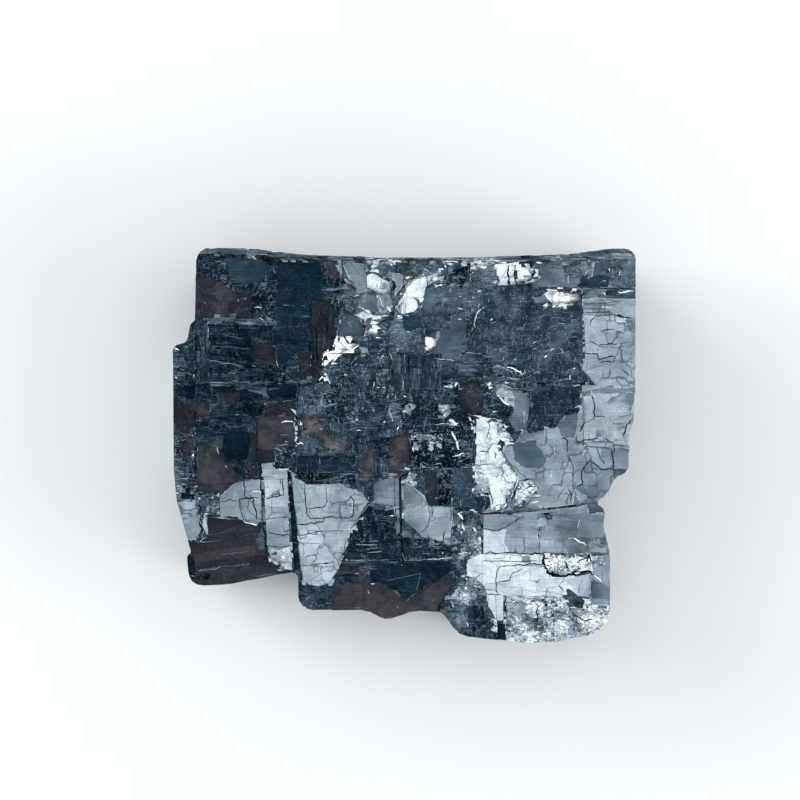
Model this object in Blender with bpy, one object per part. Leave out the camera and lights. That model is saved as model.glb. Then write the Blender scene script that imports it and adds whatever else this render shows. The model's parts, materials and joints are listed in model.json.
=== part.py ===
"""Galena: one cleavage block of lead sulphide, lying on its back with the broad cleavage face up.

Galena splits along the three square directions of its cube, so every ledge, slot and step here
runs along X, Y or Z, apart from the few chips that broke across the cleavage. The block is one
piece: an outline extruded to its thickness, then split back terrace by terrace with cutters.
Sizes are in millimetres until MM turns them to metres. X is right, Y is away, Z is up.
"""

import math
import random

import bmesh
import bpy
from mathutils import Vector

MM = 0.001

# Driving sizes of the block.
THICKNESS = 27.0
OVERSHOOT = 4.0  # how far a cutter runs on past the block, so that no faces coincide
ARC_STEP = math.radians(24)  # the turn that one chord of a rounded corner takes
HAIRLINE = 0.02  # corners nearer than this are one corner
SEED = 26

# The broad face seen from above, clockwise from its far left corner: x, y and the corner's radius.
OUTLINE = [
    (-27.0, 25.8, 1.6), (-20.5, 25.8, 5.0), (-13.5, 24.95, 5.0), (-4.0, 24.55, 6.0),
    (8.0, 24.55, 6.0), (21.5, 25.0, 4.0), (27.2, 25.75, 3.0), (30.2, 25.7, 1.7),
    (30.15, 7.0, 2.0), (29.9, 3.2, 2.0), (29.4, 1.6, 2.0), (29.3, -3.4, 1.3),
    (27.4, -4.3, 1.8), (26.5, -6.4, 2.0), (25.0, -7.5, 0.5), (26.3, -8.3, 0.6),
    (26.0, -10.5, 2.0), (26.9, -14.0, 4.0), (26.95, -24.3, 3.6), (19.5, -25.7, 5.0),
    (15.5, -25.81, 3.0), (7.2, -24.8, 2.5), (5.0, -21.7, 1.6), (1.5, -21.5, 2.5),
    (-2.4, -22.7, 1.6), (-4.9, -21.4, 2.5), (-13.8, -21.5, 1.9), (-13.9, -16.4, 0.9),
    (-17.0, -16.9, 3.0), (-23.0, -18.1, 4.0), (-28.1, -18.3, 1.9), (-28.4, -14.3, 0.5),
    (-27.8, -14.0, 0.3), (-28.3, -11.8, 3.0), (-29.6, -7.4, 2.0), (-30.1, -3.0, 4.0),
    (-30.21, 13.2, 1.0), (-28.4, 13.4, 1.0), (-27.9, 16.0, 0.7), (-27.2, 16.4, 0.5),
]

# Each terrace of the broad face: its depth at its middle, its rise in degrees towards +X and
# towards +Y, and its outline. Where two overlap, the deeper one shows.
TERRACES = {
    "open_field": (0.45, 0.0, 0.0, [
        (-8.0, 29), (-8.0, 20.6), (-8.3, 18.0), (-8.7, 15.0), (-9.2, 13.0), (-10.3, 12.1),
        (-10.5, 9.4), (-11.9, 8.2), (-34, 8.2), (-34, -30), (34, -30), (34, 29)]),
    "west_field": (0.7, 0.0, 0.0, [
        (-34, 8.1), (-20.9, 8.15), (-18.6, 4.6), (-14.2, 6.6), (-13.7, -5.2), (-34, -5.3)]),
    "south_west_field": (1.25, 0.0, 0.0, [
        (-34, -4.9), (-24.5, -5.0), (-18.0, -4.4), (-14.6, -4.3), (-8.6, -15.2), (-8.9, -30),
        (-34, -30)]),
    "south_field": (1.5, 0.0, 0.0, [
        (-12.0, -17.4), (-8.9, -15.6), (6.0, -14.9), (9.0, -14.3), (34, -13.6), (34, -30),
        (-12.2, -30)]),
    "south_east_field": (1.85, 0.0, 0.0, [
        (9.9, -8.95), (24.0, -7.5), (34, -6.9), (34, -30), (9.8, -30), (8.6, -17.2)]),
    "south_foot_field": (2.6, 0.0, 0.0, [
        (5.9, -18.7), (8.7, -17.6), (10.9, -19.2), (24.2, -20.2), (34, -20.4), (34, -30),
        (2.9, -30), (4.4, -20.9)]),
    "east_field": (0.95, 0.0, 0.0, [
        (23.2, 21.0), (34, 20.9), (34, -8.0), (10.3, -8.7), (8.9, -6.4), (9.1, 2.9), (13.5, 5.2),
        (16.5, 8.2), (23.3, 8.2)]),
    "left_ledge": (2.9, 1.2, 0.0, [
        (-34, 20), (-27.3, 20), (-27.2, 8.0), (-26.9, -5.1), (-34, -5.1)]),
    "north_west_lower_tread": (0.35, 0.0, -0.6, [
        (-27.6, 16.3), (-17.2, 16.2), (-17.1, 10.2), (-20.0, 10.1), (-20.1, 8.0), (-27.6, 8.0)]),
    "north_west_lunule": (0.3, 1.0, 1.0, [
        (-23.2, 25.0), (-23.0, 22.2), (-22.0, 21.3), (-20.0, 21.0), (-18.2, 21.7), (-17.4, 23.4),
        (-17.6, 25.0)]),
    "dark_stair": (0.5, -2.5, 0.0, [
        (-12.2, 19.0), (-10.6, 19.0), (-10.5, 24.0), (-7.6, 24.0), (-7.6, 12.0), (-12.3, 12.0)]),
    "left_tread": (0.75, 1.2, -0.5, [
        (-27.6, 8.0), (-21.2, 8.1), (-21.1, 5.2), (-18.9, 5.1), (-18.8, 2.0), (-20.9, 1.9),
        (-21.0, -5.3), (-27.6, -5.4)]),
    "left_hollow": (1.1, 0.0, 2.0, [
        (-23.5, 1.2), (-22.4, 2.1), (-20.9, 2.0), (-20.6, -1.7), (-22.4, -2.0), (-23.6, -0.8)]),
    "brown_tread": (0.95, 2.0, 1.0, [
        (-19.2, 4.2), (-16.6, 4.3), (-16.5, 6.0), (-14.1, 6.1), (-14.0, -2.8), (-16.7, -2.7),
        (-16.8, -1.9), (-19.3, -1.9)]),
    "centre_basin": (1.05, -1.5, 1.0, [
        (-13.9, 7.3), (-11.4, 8.0), (-10.3, 12.2), (-8.4, 12.1), (-6.0, 12.0), (-2.0, 13.9),
        (-1.9, 7.0), (-2.5, 6.0), (-2.4, 2.2), (-5.9, 0.8), (-6.2, -1.3), (-13.6, -1.3),
        (-14.0, 2.0)]),
    "centre_sill": (0.8, 0.0, -2.0, [
        (-14.0, -1.4), (-6.4, -1.4), (-6.3, -4.9), (-12.8, -5.0), (-14.1, -4.0)]),
    "centre_brown_step": (1.15, 2.0, 0.0, [
        (-6.1, 0.2), (-3.6, 0.9), (0.9, 1.6), (1.0, -3.9), (-5.9, -4.2)]),
    "chip_far_slate": (1.5, 9.0, 7.0, [
        (-8.1, 24.3), (-6.0, 24.1), (-4.9, 22.6), (-4.8, 20.0), (-6.0, 19.8), (-8.1, 21.6)]),
    "chip_bright_left": (1.9, -11.0, 9.0, [
        (-4.9, 22.7), (-3.8, 22.6), (-1.2, 21.4), (-1.0, 20.7), (-1.8, 19.7), (-3.2, 19.9),
        (-4.8, 20.6)]),
    "chip_bright_right": (1.7, 9.0, -7.0, [
        (-0.3, 21.2), (1.1, 22.0), (3.1, 22.3), (3.1, 20.5), (2.3, 19.2), (1.4, 19.2), (1.9, 17.9),
        (1.3, 17.5), (-0.4, 17.1), (-1.2, 18.1), (-0.6, 19.5)]),
    "chip_far_wing": (1.2, 5.0, 9.0, [
        (3.0, 22.5), (5.6, 22.6), (5.2, 21.9), (3.8, 21.0), (3.0, 20.4)]),
    "chip_stair": (1.6, 0.0, 6.0, [
        (-6.8, 18.2), (-5.5, 18.0), (-5.0, 17.2), (-2.4, 17.1), (-1.3, 16.6), (-1.6, 15.7),
        (-2.6, 14.7), (-4.9, 14.5), (-5.6, 16.6), (-6.8, 17.2)]),
    "chip_slate_stair": (1.9, -8.0, 0.0, [
        (-8.3, 17.9), (-6.8, 17.3), (-5.7, 16.7), (-4.9, 14.4), (-8.5, 14.2)]),
    "chip_middle": (1.4, 3.0, -3.0, [
        (-8.2, 20.4), (-3.4, 19.8), (-1.6, 18.8), (-1.2, 17.0), (-5.0, 17.3), (-6.8, 18.2),
        (-8.3, 18.2)]),
    "bright_stair": (1.3, -7.0, 4.0, [
        (-8.9, 14.4), (-7.7, 14.2), (-7.1, 13.4), (-5.8, 13.2), (-6.7, 12.7), (-8.6, 11.9),
        (-9.6, 11.0), (-10.5, 10.2), (-10.4, 12.2), (-9.2, 13.1)]),
    "north_gully": (1.0, 0.0, -5.0, [
        (-4.9, 24.4), (5.8, 24.3), (5.7, 22.8), (2.2, 22.1), (0.0, 21.3), (-1.0, 21.1),
        (-4.6, 22.8)]),
    "centre_shaft": (1.35, 7.0, 0.0, [
        (-1.9, 13.2), (-0.9, 13.0), (-0.9, 11.0), (-1.3, 9.8), (-1.9, 8.0)]),
    "centre_dark_field": (0.8, 1.5, -1.0, [
        (-0.9, 12.1), (6.6, 11.4), (6.5, 9.0), (5.0, 8.2), (4.9, 4.0), (0.8, 3.9), (0.6, 1.7),
        (-2.4, 2.3), (-2.3, 7.6), (-1.3, 9.6)]),
    "slate_window": (0.75, 2.0, 2.0, [
        (2.4, 16.8), (7.9, 17.4), (8.0, 14.8), (7.0, 11.2), (3.2, 11.5), (2.3, 14.0)]),
    "bright_chip": (1.25, -9.0, 0.0, [
        (2.8, 14.3), (3.7, 14.1), (4.2, 13.7), (3.9, 12.9), (3.3, 12.6), (2.8, 13.2)]),
    "north_screen": (1.1, 0.0, -6.0, [
        (5.6, 24.2), (11.9, 24.1), (12.0, 20.9), (10.0, 20.4), (5.5, 20.7)]),
    "north_bright_panels": (1.7, -4.0, 8.0, [
        (11.8, 24.0), (16.4, 24.0), (17.2, 22.6), (16.6, 21.6), (14.8, 20.9), (11.7, 20.7)]),
    "north_slate_panel": (1.2, 3.0, 4.0, [
        (17.0, 24.2), (23.0, 24.3), (23.1, 21.0), (22.5, 20.5), (18.8, 20.4), (16.0, 20.6)]),
    "north_east_panel": (0.95, -2.0, -3.0, [
        (22.9, 24.2), (34, 24.2), (34, 20.5), (25.9, 20.5), (22.9, 20.9)]),
    "north_east_shelf": (1.35, 0.0, 2.0, [
        (24.8, 20.6), (34, 20.6), (34, 19.2), (23.1, 19.2)]),
    "bright_notch": (1.9, -5.0, 9.0, [
        (18.0, 19.6), (19.0, 20.4), (22.4, 20.2), (23.2, 19.0), (22.0, 18.4), (19.0, 18.4),
        (18.5, 19.0)]),
    "middle_rail": (0.95, 0.0, -3.0, [
        (7.0, 10.9), (13.4, 10.8), (15.9, 9.9), (16.1, 8.1), (23.6, 8.3), (23.7, 7.7), (16.6, 7.6),
        (14.1, 7.5), (12.3, 8.4), (7.0, 8.7)]),
    "brown_hollow": (1.25, 1.5, 1.5, [
        (7.1, 8.4), (9.6, 8.6), (10.7, 8.0), (11.7, 6.6), (14.2, 5.1), (14.5, 4.1), (12.6, 3.6),
        (10.4, 3.9), (7.5, 4.1), (6.5, 5.6), (6.4, 7.2)]),
    "east_strip": (1.15, 1.0, 0.3, [
        (23.5, 19.3), (34, 19.3), (34, 7.6), (27.0, 7.7), (26.0, 7.4), (23.9, 7.5), (23.9, 9.2),
        (23.0, 10.1), (23.6, 11.4)]),
    "east_lower_strip": (1.4, 1.2, -0.3, [
        (23.2, 7.9), (27.3, 7.9), (34, 7.9), (34, -1.0), (27.4, -1.0), (27.4, 0.4), (22.6, 0.5),
        (22.6, 4.2), (23.1, 5.0)]),
    "east_floor": (1.55, -1.2, -0.8, [
        (14.2, 7.4), (16.0, 7.3), (16.5, 6.2), (16.2, 4.4), (15.8, 2.6), (16.4, 1.6), (18.0, 2.0),
        (19.6, 2.4), (21.1, 3.2), (21.9, 4.2), (23.4, 4.2), (23.4, 0.0), (28.5, -0.3), (34, -3.3),
        (34, -7.0), (25.2, -7.3), (18.0, -8.3), (10.2, -8.8), (11.3, -7.7), (11.2, -6.4),
        (8.8, -6.7), (8.9, -2.5), (9.4, -1.5), (9.3, 2.6), (8.4, 4.0), (10.1, 3.8), (12.6, 3.4),
        (13.6, 2.9), (14.2, 5.0), (12.3, 7.8)]),
    "east_bright_floor": (1.9, -5.0, 1.5, [
        (9.5, 3.6), (10.6, 2.9), (12.2, 3.2), (13.2, 1.0), (12.8, -0.6), (14.9, -4.1), (14.0, -6.6),
        (12.5, -8.5), (11.6, -8.4), (11.6, -5.0), (9.2, -6.5), (9.3, 1.0)]),
    "east_corner_chip": (2.1, -3.0, 4.0, [
        (27.3, -0.6), (27.4, -3.1), (34, -3.0), (34, -7.2), (24.0, -7.0), (23.3, -4.9),
        (23.1, -3.4), (24.2, -1.8), (25.8, -2.9), (27.1, -3.2)]),
    "cleft_stair": (2.3, 0.0, 6.0, [
        (15.1, -4.3), (16.9, -4.4), (17.4, -6.0), (16.0, -7.9), (14.2, -8.4), (13.6, -7.4),
        (14.6, -5.6)]),
    "south_east_block": (1.95, -0.8, 0.5, [
        (10.2, -8.9), (18.0, -8.5), (25.0, -7.6), (34, -7.8), (34, -14.1), (10.1, -14.1)]),
    "south_east_slate": (2.2, 2.0, 0.0, [
        (17.4, -10.6), (18.4, -10.5), (18.8, -9.0), (34, -8.9), (34, -14.2), (18.2, -14.3),
        (17.8, -12.4)]),
    "south_bright_tread": (2.35, -2.0, 0.8, [
        (8.3, -15.0), (10.0, -14.0), (18.1, -14.1), (18.3, -15.6), (12.2, -15.7), (12.1, -18.0),
        (12.8, -19.4), (10.9, -19.3), (10.1, -18.0), (8.1, -16.9)]),
    "south_bright_plate": (2.55, -2.0, 1.0, [
        (12.0, -15.8), (14.6, -16.3), (16.1, -15.7), (18.4, -15.7), (19.3, -17.3), (24.4, -16.4),
        (24.4, -21.0), (12.7, -19.5), (12.0, -17.9)]),
    "south_east_recess": (3.5, 3.0, -4.0, [
        (18.1, -13.9), (24.3, -14.1), (24.7, -16.4), (21.9, -16.6), (20.8, -17.2), (19.3, -17.1),
        (18.5, -15.9)]),
    "south_east_rim": (3.0, -3.0, 0.0, [
        (24.3, -13.9), (34, -13.8), (34, -21.0), (24.2, -20.8)]),
    "south_foot": (3.2, 0.0, 3.5, [
        (10.8, -19.4), (19.0, -19.7), (24.0, -20.7), (34, -20.8), (34, -30), (10.6, -30)]),
    "south_foot_drop": (3.9, -3.0, 5.0, [
        (13.5, -21.7), (17.9, -22.1), (19.4, -21.2), (19.5, -30), (13.3, -30)]),
    "south_dark_corner": (2.7, 2.5, 3.0, [
        (4.6, -20.6), (6.6, -18.2), (8.2, -17.1), (10.2, -18.1), (11.0, -19.4), (11.0, -30),
        (3.0, -30)]),
    "south_spine_mosaic": (1.6, 4.0, -2.0, [
        (6.4, -8.0), (8.4, -7.9), (10.2, -8.8), (10.1, -14.2), (8.2, -14.9), (6.0, -13.6)]),
    "south_middle_block": (1.6, 0.0, 1.2, [
        (-14.4, -18.3), (-11.4, -18.2), (-9.8, -17.8), (-8.5, -16.0), (-8.3, -14.9), (0.0, -15.0),
        (8.4, -14.5), (8.1, -17.0), (4.6, -20.4), (2.8, -30), (-14.4, -30)]),
    "south_middle_navy": (1.95, 0.0, 3.5, [
        (-4.5, -16.4), (-3.5, -15.5), (4.0, -15.1), (6.6, -15.0), (5.6, -16.6), (3.6, -18.1),
        (1.4, -19.8), (0.0, -20.0), (-0.9, -19.0), (-3.0, -18.0), (-4.4, -17.4)]),
    "south_middle_corner": (3.1, 0.0, 0.0, [
        (-14.6, -18.3), (-11.5, -18.4), (-11.4, -19.9), (-9.4, -20.0), (-9.3, -30), (-14.6, -30)]),
    "south_dark_pane": (1.25, 1.0, 1.0, [
        (-4.7, -7.8), (-1.4, -8.0), (-0.9, -11.9), (3.6, -12.2), (5.8, -13.2), (8.2, -14.2),
        (8.2, -14.9), (-8.1, -15.0), (-7.3, -13.0), (-7.0, -10.8), (-6.0, -9.8), (-5.4, -8.8)]),
    "south_grey_pane": (1.05, 2.0, 1.0, [
        (-4.0, -4.9), (-2.6, -4.3), (-0.4, -4.1), (-0.4, -7.9), (-4.0, -7.6)]),
    "south_grey_curve": (1.35, -1.5, 3.0, [
        (0.0, -4.7), (0.9, -5.0), (2.7, -6.5), (3.0, -7.7), (6.5, -8.0), (6.2, -13.0),
        (4.8, -12.6), (1.5, -11.6), (0.0, -10.6)]),
    "wedge_right": (1.15, -3.2, 0.5, [
        (-15.2, -3.0), (-13.9, -3.8), (-12.7, -5.0), (-8.0, -5.3), (-5.5, -6.2), (-4.6, -7.5),
        (-5.4, -8.7), (-6.9, -10.8), (-7.3, -13.0), (-8.4, -14.9), (-8.5, -16.0), (-9.8, -17.9),
        (-11.5, -18.3), (-14.0, -18.3)]),
    "wedge_middle": (1.1, -3.0, 0.0, [
        (-18.8, -2.2), (-17.0, -2.1), (-16.8, -3.0), (-15.0, -2.9), (-14.4, -16.4), (-16.0, -16.2),
        (-17.3, -15.0), (-18.0, -11.0), (-18.4, -4.6)]),
    "wedge_left": (1.3, -3.4, 1.0, [
        (-24.0, -6.3), (-22.1, -4.9), (-20.9, -4.4), (-18.5, -4.2), (-18.4, -10.4), (-20.6, -9.9),
        (-22.9, -9.3), (-24.3, -8.4)]),
    "wedge_flank": (1.75, -3.5, 0.0, [
        (-34, -7.0), (-27.1, -7.0), (-26.8, -9.0), (-25.8, -9.0), (-25.5, -11.8), (-27.0, -12.8),
        (-34, -12.8)]),
    "crumbled_seam": (1.55, 3.0, 4.0, [
        (-34, -5.0), (-27.0, -5.0), (-24.1, -5.8), (-23.9, -8.9), (-26.0, -9.1), (-27.2, -7.1),
        (-34, -7.1)]),
    "brown_foot": (1.85, 1.0, 1.5, [
        (-25.7, -9.3), (-22.9, -9.2), (-20.5, -9.8), (-18.3, -10.5), (-17.9, -13.4), (-17.3, -15.1),
        (-16.0, -16.2), (-14.2, -16.3), (-14.2, -30), (-34, -30), (-34, -12.8), (-27.0, -12.7),
        (-25.6, -11.8)]),
    "brown_foot_step": (2.15, 0.5, 1.0, [
        (-26.9, -16.2), (-20.6, -15.4), (-16.2, -15.0), (-14.2, -15.4), (-14.2, -30), (-34, -30),
        (-34, -16.4)]),
    "west_foot_chip": (3.4, 20.0, 0.0, [
        (-34, -14.0), (-27.7, -14.0), (-27.2, -15.5), (-27.3, -17.4), (-34, -17.4)]),
}

# Open clefts along the cleavage: depth and outline.
CLEFTS = {
    "main_cleft": (4.6, [
        (-15.2, -3.4), (-14.75, -3.4), (-14.15, -9.0), (-13.45, -16.0), (-13.2, -19.0),
        (-14.2, -19.0), (-14.35, -16.0), (-14.75, -9.0)]),
    "second_cleft": (3.6, [
        (-18.75, -4.6), (-18.3, -4.6), (-18.1, -8.6), (-17.75, -13.4), (-18.15, -13.4),
        (-18.5, -8.5)]),
    "third_cleft": (2.6, [
        (-21.5, -6.9), (-20.9, -6.8), (-20.95, -8.0), (-20.5, -9.6), (-20.9, -9.7), (-21.4, -8.2)]),
    "middle_cleft": (3.4, [
        (-0.7, -4.0), (-0.4, -4.0), (-0.25, -10.0), (0.0, -15.6), (-0.25, -15.6), (-0.55, -10.0)]),
    "east_cleft": (4.4, [
        (10.1, -8.65), (18.0, -8.15), (22.4, -7.65), (24.0, -7.15), (30, -6.6), (30, -7.2),
        (24.0, -7.6), (22.0, -8.0), (18.0, -8.5), (10.1, -9.0)]),
    "east_pocket": (4.6, [(23.8, -7.0), (26.6, -6.7), (26.6, -8.7), (24.1, -8.7)]),
    "east_pocket_above": (3.4, [(27.4, -3.1), (31, -3.1), (31, -5.0), (27.4, -4.1)]),
    "south_cleft": (5.2, [
        (13.0, -19.5), (13.35, -19.5), (13.5, -23.2), (13.4, -28), (12.3, -28), (12.3, -23.4),
        (13.0, -23.2)]),
    "south_east_slit": (4.2, [(24.2, -16.9), (24.5, -16.9), (24.5, -19.6), (24.25, -19.6)]),
    "block_joint": (3.2, [(10.0, -8.8), (10.35, -8.8), (10.35, -14.1), (10.05, -14.1)]),
    "north_east_slit": (2.4, [(28.2, 20.65), (31, 20.7), (31, 20.4), (28.2, 20.4)]),
    "south_foot_slit": (4.8, [(19.3, -21.4), (19.6, -21.4), (19.7, -28), (19.2, -28)]),
}

# The worn far arris of the broad face: where its slope starts along +Y, how deep it is there
# and how many degrees it falls.
FAR_ARRIS = (24.15, 0.5, 38.0)

# How far each side runs along its own direction.
SPANS = {"east": (-26, 26), "west": (-19, 26), "north": (-28, 31), "south": (-29, 28)}

# Chips that broke across the cleavage, out of the rim of the side it lies on: how high they
# reach at their middle, their rise in degrees towards +X and towards +Y, and their outline.
BACK_CHIPS = {
    "south_west": (1.7, -13.0, -11.0, [(-34, -24), (-17, -24), (-17.5, -14), (-22, -9), (-34, -7)]),
    "north_east": (1.5, 12.0, 13.0, [(34, 30), (16, 30), (17.5, 20), (23, 13), (34, 12)]),
    "north_west": (1.3, -15.0, 8.0, [(-34, 30), (-22, 30), (-23, 17), (-34, 15)]),
    "south": (1.5, 3.0, -16.0, [(-6, -30), (9, -30), (8, -19.5), (-5, -18.5)]),
    "east": (1.2, 15.0, -4.0, [(34, 4), (34, -12), (22.5, -11), (23.5, 3)]),
}


def rounded(corners):
    """The outline's corners with each one turned into an arc of its own radius."""
    points = []
    count = len(corners)
    for index, (x, y, radius) in enumerate(corners):
        corner = Vector((x, y))
        before = Vector(corners[index - 1][:2]) - corner
        after = Vector(corners[(index + 1) % count][:2]) - corner
        half = before.angle(after) / 2
        # The arc starts where it is tangent, and no later than halfway along the shorter side.
        reach = min(radius / math.tan(half), 0.48 * before.length, 0.48 * after.length)
        radius = reach * math.tan(half)
        turn = math.pi - 2 * half
        centre = corner + (before.normalized() + after.normalized()).normalized() * (
            radius / math.sin(half)
        )
        start = corner + before.normalized() * reach - centre
        sense = 1 if before.cross(after) < 0 else -1
        steps = max(1, round(turn / ARC_STEP))
        for step in range(steps + 1):
            angle = sense * turn * step / steps
            points.append(
                (
                    centre.x + start.x * math.cos(angle) - start.y * math.sin(angle),
                    centre.y + start.x * math.sin(angle) + start.y * math.cos(angle),
                )
            )
    return points


def prism(name, outline, floor, ceiling):
    """A closed solid over an outline, between two heights that may change from point to point."""
    shape = bmesh.new()
    base = shape.faces.new([shape.verts.new((x, y, 0)) for x, y in outline])
    lifted = bmesh.ops.extrude_face_region(shape, geom=[base])["geom"]
    upper = {item for item in lifted if isinstance(item, bmesh.types.BMVert)}
    for corner in shape.verts:
        height = ceiling if corner in upper else floor
        corner.co.z = height(corner.co.x, corner.co.y)
    bmesh.ops.recalc_face_normals(shape, faces=shape.faces)
    bmesh.ops.scale(shape, vec=(MM, MM, MM), verts=shape.verts)
    mesh = bpy.data.meshes.new(name)
    shape.to_mesh(mesh)
    shape.free()
    return bpy.data.objects.new(name, mesh)


def level(height):
    """A level plane."""
    return lambda x, y: height


def sloped(height, rise_x, rise_y, outline):
    """A plane that has the given height at the middle of an outline's on-block part."""
    inside = [(max(-30, min(30, x)), max(-25, min(25, y))) for x, y in outline]
    middle_x = sum(x for x, _ in inside) / len(inside)
    middle_y = sum(y for _, y in inside) / len(inside)
    slope_x = math.tan(math.radians(rise_x))
    slope_y = math.tan(math.radians(rise_y))
    return lambda x, y: height + slope_x * (x - middle_x) + slope_y * (y - middle_y)


def cutter(outline, floor, ceiling, group):
    """A helper that only cuts: it shows as wire and is left out of renders."""
    made = prism(f"cut_{len(group.objects):03d}", outline, floor, ceiling)
    made.hide_render = True
    made.display_type = "WIRE"
    group.objects.link(made)


def box_outline(low_x, low_y, high_x, high_y):
    return [(low_x, low_y), (high_x, low_y), (high_x, high_y), (low_x, high_y)]


def cut_broad_face(group):
    """The terraces, clefts and worn arrises that are seen from above."""
    above = level(THICKNESS + OVERSHOOT)
    for depth, rise_x, rise_y, outline in TERRACES.values():
        floor = sloped(THICKNESS - depth, rise_x, rise_y, outline)
        cutter(outline, floor, above, group)
    for depth, outline in CLEFTS.values():
        cutter(outline, level(THICKNESS - depth), above, group)
    start, depth, fall = FAR_ARRIS
    slope = math.tan(math.radians(fall))
    cutter(
        box_outline(-36, start, 36, 34),
        lambda x, y: THICKNESS - depth - slope * (y - start),
        above,
        group,
    )


def sides_of():
    """For each side of the block: a function that turns (outward, along) into (x, y)."""
    return {
        "east": lambda outward, along: (outward, along),
        "west": lambda outward, along: (-outward, along),
        "north": lambda outward, along: (along, outward),
        "south": lambda outward, along: (along, -outward),
    }


def reach_of(points, side, low, high):
    """How far out the outline reaches on one side, between two places along it."""
    outward = {
        "east": lambda p: (p[0], p[1]),
        "west": lambda p: (-p[0], p[1]),
        "north": lambda p: (p[1], p[0]),
        "south": lambda p: (-p[1], p[0]),
    }[side]
    found = [outward(p)[0] for p in points if low <= outward(p)[1] <= high and outward(p)[0] > 0]
    return max(found) if found else None


def cut_sides(points, group):
    """Ledges in courses round the block, each course and each ledge running into the next."""
    dice = random.Random(SEED)
    for side, (low, high) in SPANS.items():
        place = sides_of()[side]
        bottom = dice.uniform(-0.4, 0.0)
        while bottom < THICKNESS - 7.5:
            top = bottom + dice.uniform(2.6, 7.0)
            along = low - dice.uniform(0.5, 4.0)
            while along < high:
                end = along + dice.uniform(7.0, 22.0)
                reach = reach_of(points, side, along, end)
                depth = dice.choice((0.35, 0.6, 0.9, 1.3, 1.9, 2.7)) + dice.uniform(0, 0.2)
                if reach is not None and dice.random() < 0.76:
                    corners = [
                        place(reach - depth, along), place(reach - depth, end),
                        place(reach + OVERSHOOT, end), place(reach + OVERSHOOT, along),
                    ]
                    ceiling = min(top, THICKNESS - 5.4)
                    lift = dice.uniform(0, 0.15)
                    cutter(corners, level(bottom + lift), level(ceiling + lift), group)
                along = end - dice.uniform(0.2, 1.0)
            bottom = top - dice.uniform(0.2, 0.8)


def cut_back(points, group):
    """Terraces of the side that the block lies on, deeper towards its rim."""
    dice = random.Random(SEED + 1)
    for side, (low, high) in SPANS.items():
        place = sides_of()[side]
        along = low - 1.0
        while along < high:
            end = along + dice.uniform(6.0, 15.0)
            reach = reach_of(points, side, along, end)
            if reach is not None and dice.random() < 0.8:
                inward = dice.uniform(1.5, 6.0)
                lift = dice.uniform(0.35, 1.7)
                corners = [
                    place(reach - inward, along), place(reach - inward, end),
                    place(reach + OVERSHOOT, end), place(reach + OVERSHOOT, along),
                ]
                ceiling = sloped(lift, dice.uniform(-1, 1), dice.uniform(-1, 1), corners)
                cutter(corners, level(-OVERSHOOT), ceiling, group)
            along = end - dice.uniform(0.2, 1.0)
    for lift, rise_x, rise_y, outline in BACK_CHIPS.values():
        cutter(outline, level(-OVERSHOOT), sloped(lift, rise_x, rise_y, outline), group)
    for _ in range(16):
        x, y = dice.uniform(-22, 20), dice.uniform(-16, 20)
        width, height = dice.uniform(2.5, 9.0), dice.uniform(2.0, 7.0)
        outline = box_outline(x, y, x + width, y + height)
        ceiling = sloped(dice.uniform(0.45, 1.3), dice.uniform(-1, 1), dice.uniform(-1, 1), outline)
        cutter(outline, level(-OVERSHOOT), ceiling, group)


def galena_material():
    """Lead sulphide: a grey metallic mineral with a bluish cast."""
    made = bpy.data.materials.new("galena")
    made.use_nodes = True
    shader = made.node_tree.nodes["Principled BSDF"]
    shader.inputs["Base Color"].default_value = (0.23, 0.27, 0.31, 1.0)
    shader.inputs["Metallic"].default_value = 1.0
    shader.inputs["Roughness"].default_value = 0.32
    return made


def main():
    for leftover in list(bpy.data.objects):
        bpy.data.objects.remove(leftover)
    points = rounded(OUTLINE)
    block = prism("galena", points, level(0), level(THICKNESS))
    block.data.materials.append(galena_material())
    bpy.context.scene.collection.objects.link(block)

    cutters = bpy.data.collections.new("cutters")
    bpy.context.scene.collection.children.link(cutters)
    cut_broad_face(cutters)
    cut_sides(points, cutters)
    cut_back(points, cutters)

    split = block.modifiers.new("split along the cleavage", "BOOLEAN")
    split.operation = "DIFFERENCE"
    split.solver = "EXACT"
    split.operand_type = "COLLECTION"
    split.collection = cutters
    tidy = block.modifiers.new("close hairlines", "WELD")
    tidy.merge_threshold = HAIRLINE * MM


main()
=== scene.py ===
# %% [markdown]
# # A cleavage block of galena
#
# Galena is lead sulphide, a heavy grey mineral with the shine of a metal. It splits along three
# square directions so easily that one hammer blow leaves terraces, ledges, slots and crumbled
# seams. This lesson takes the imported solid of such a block, cuts the finer terraces and cracks
# into it, splits its faces into the small cells that the cleavage leaves, and gives each cell its
# own height, lean and shade of metal.

import itertools
import json
import math
import random
from collections import namedtuple

import bmesh
import bpy
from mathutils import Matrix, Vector, noise
from mathutils.bvhtree import BVHTree
from mathutils.geometry import tessellate_polygon

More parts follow.
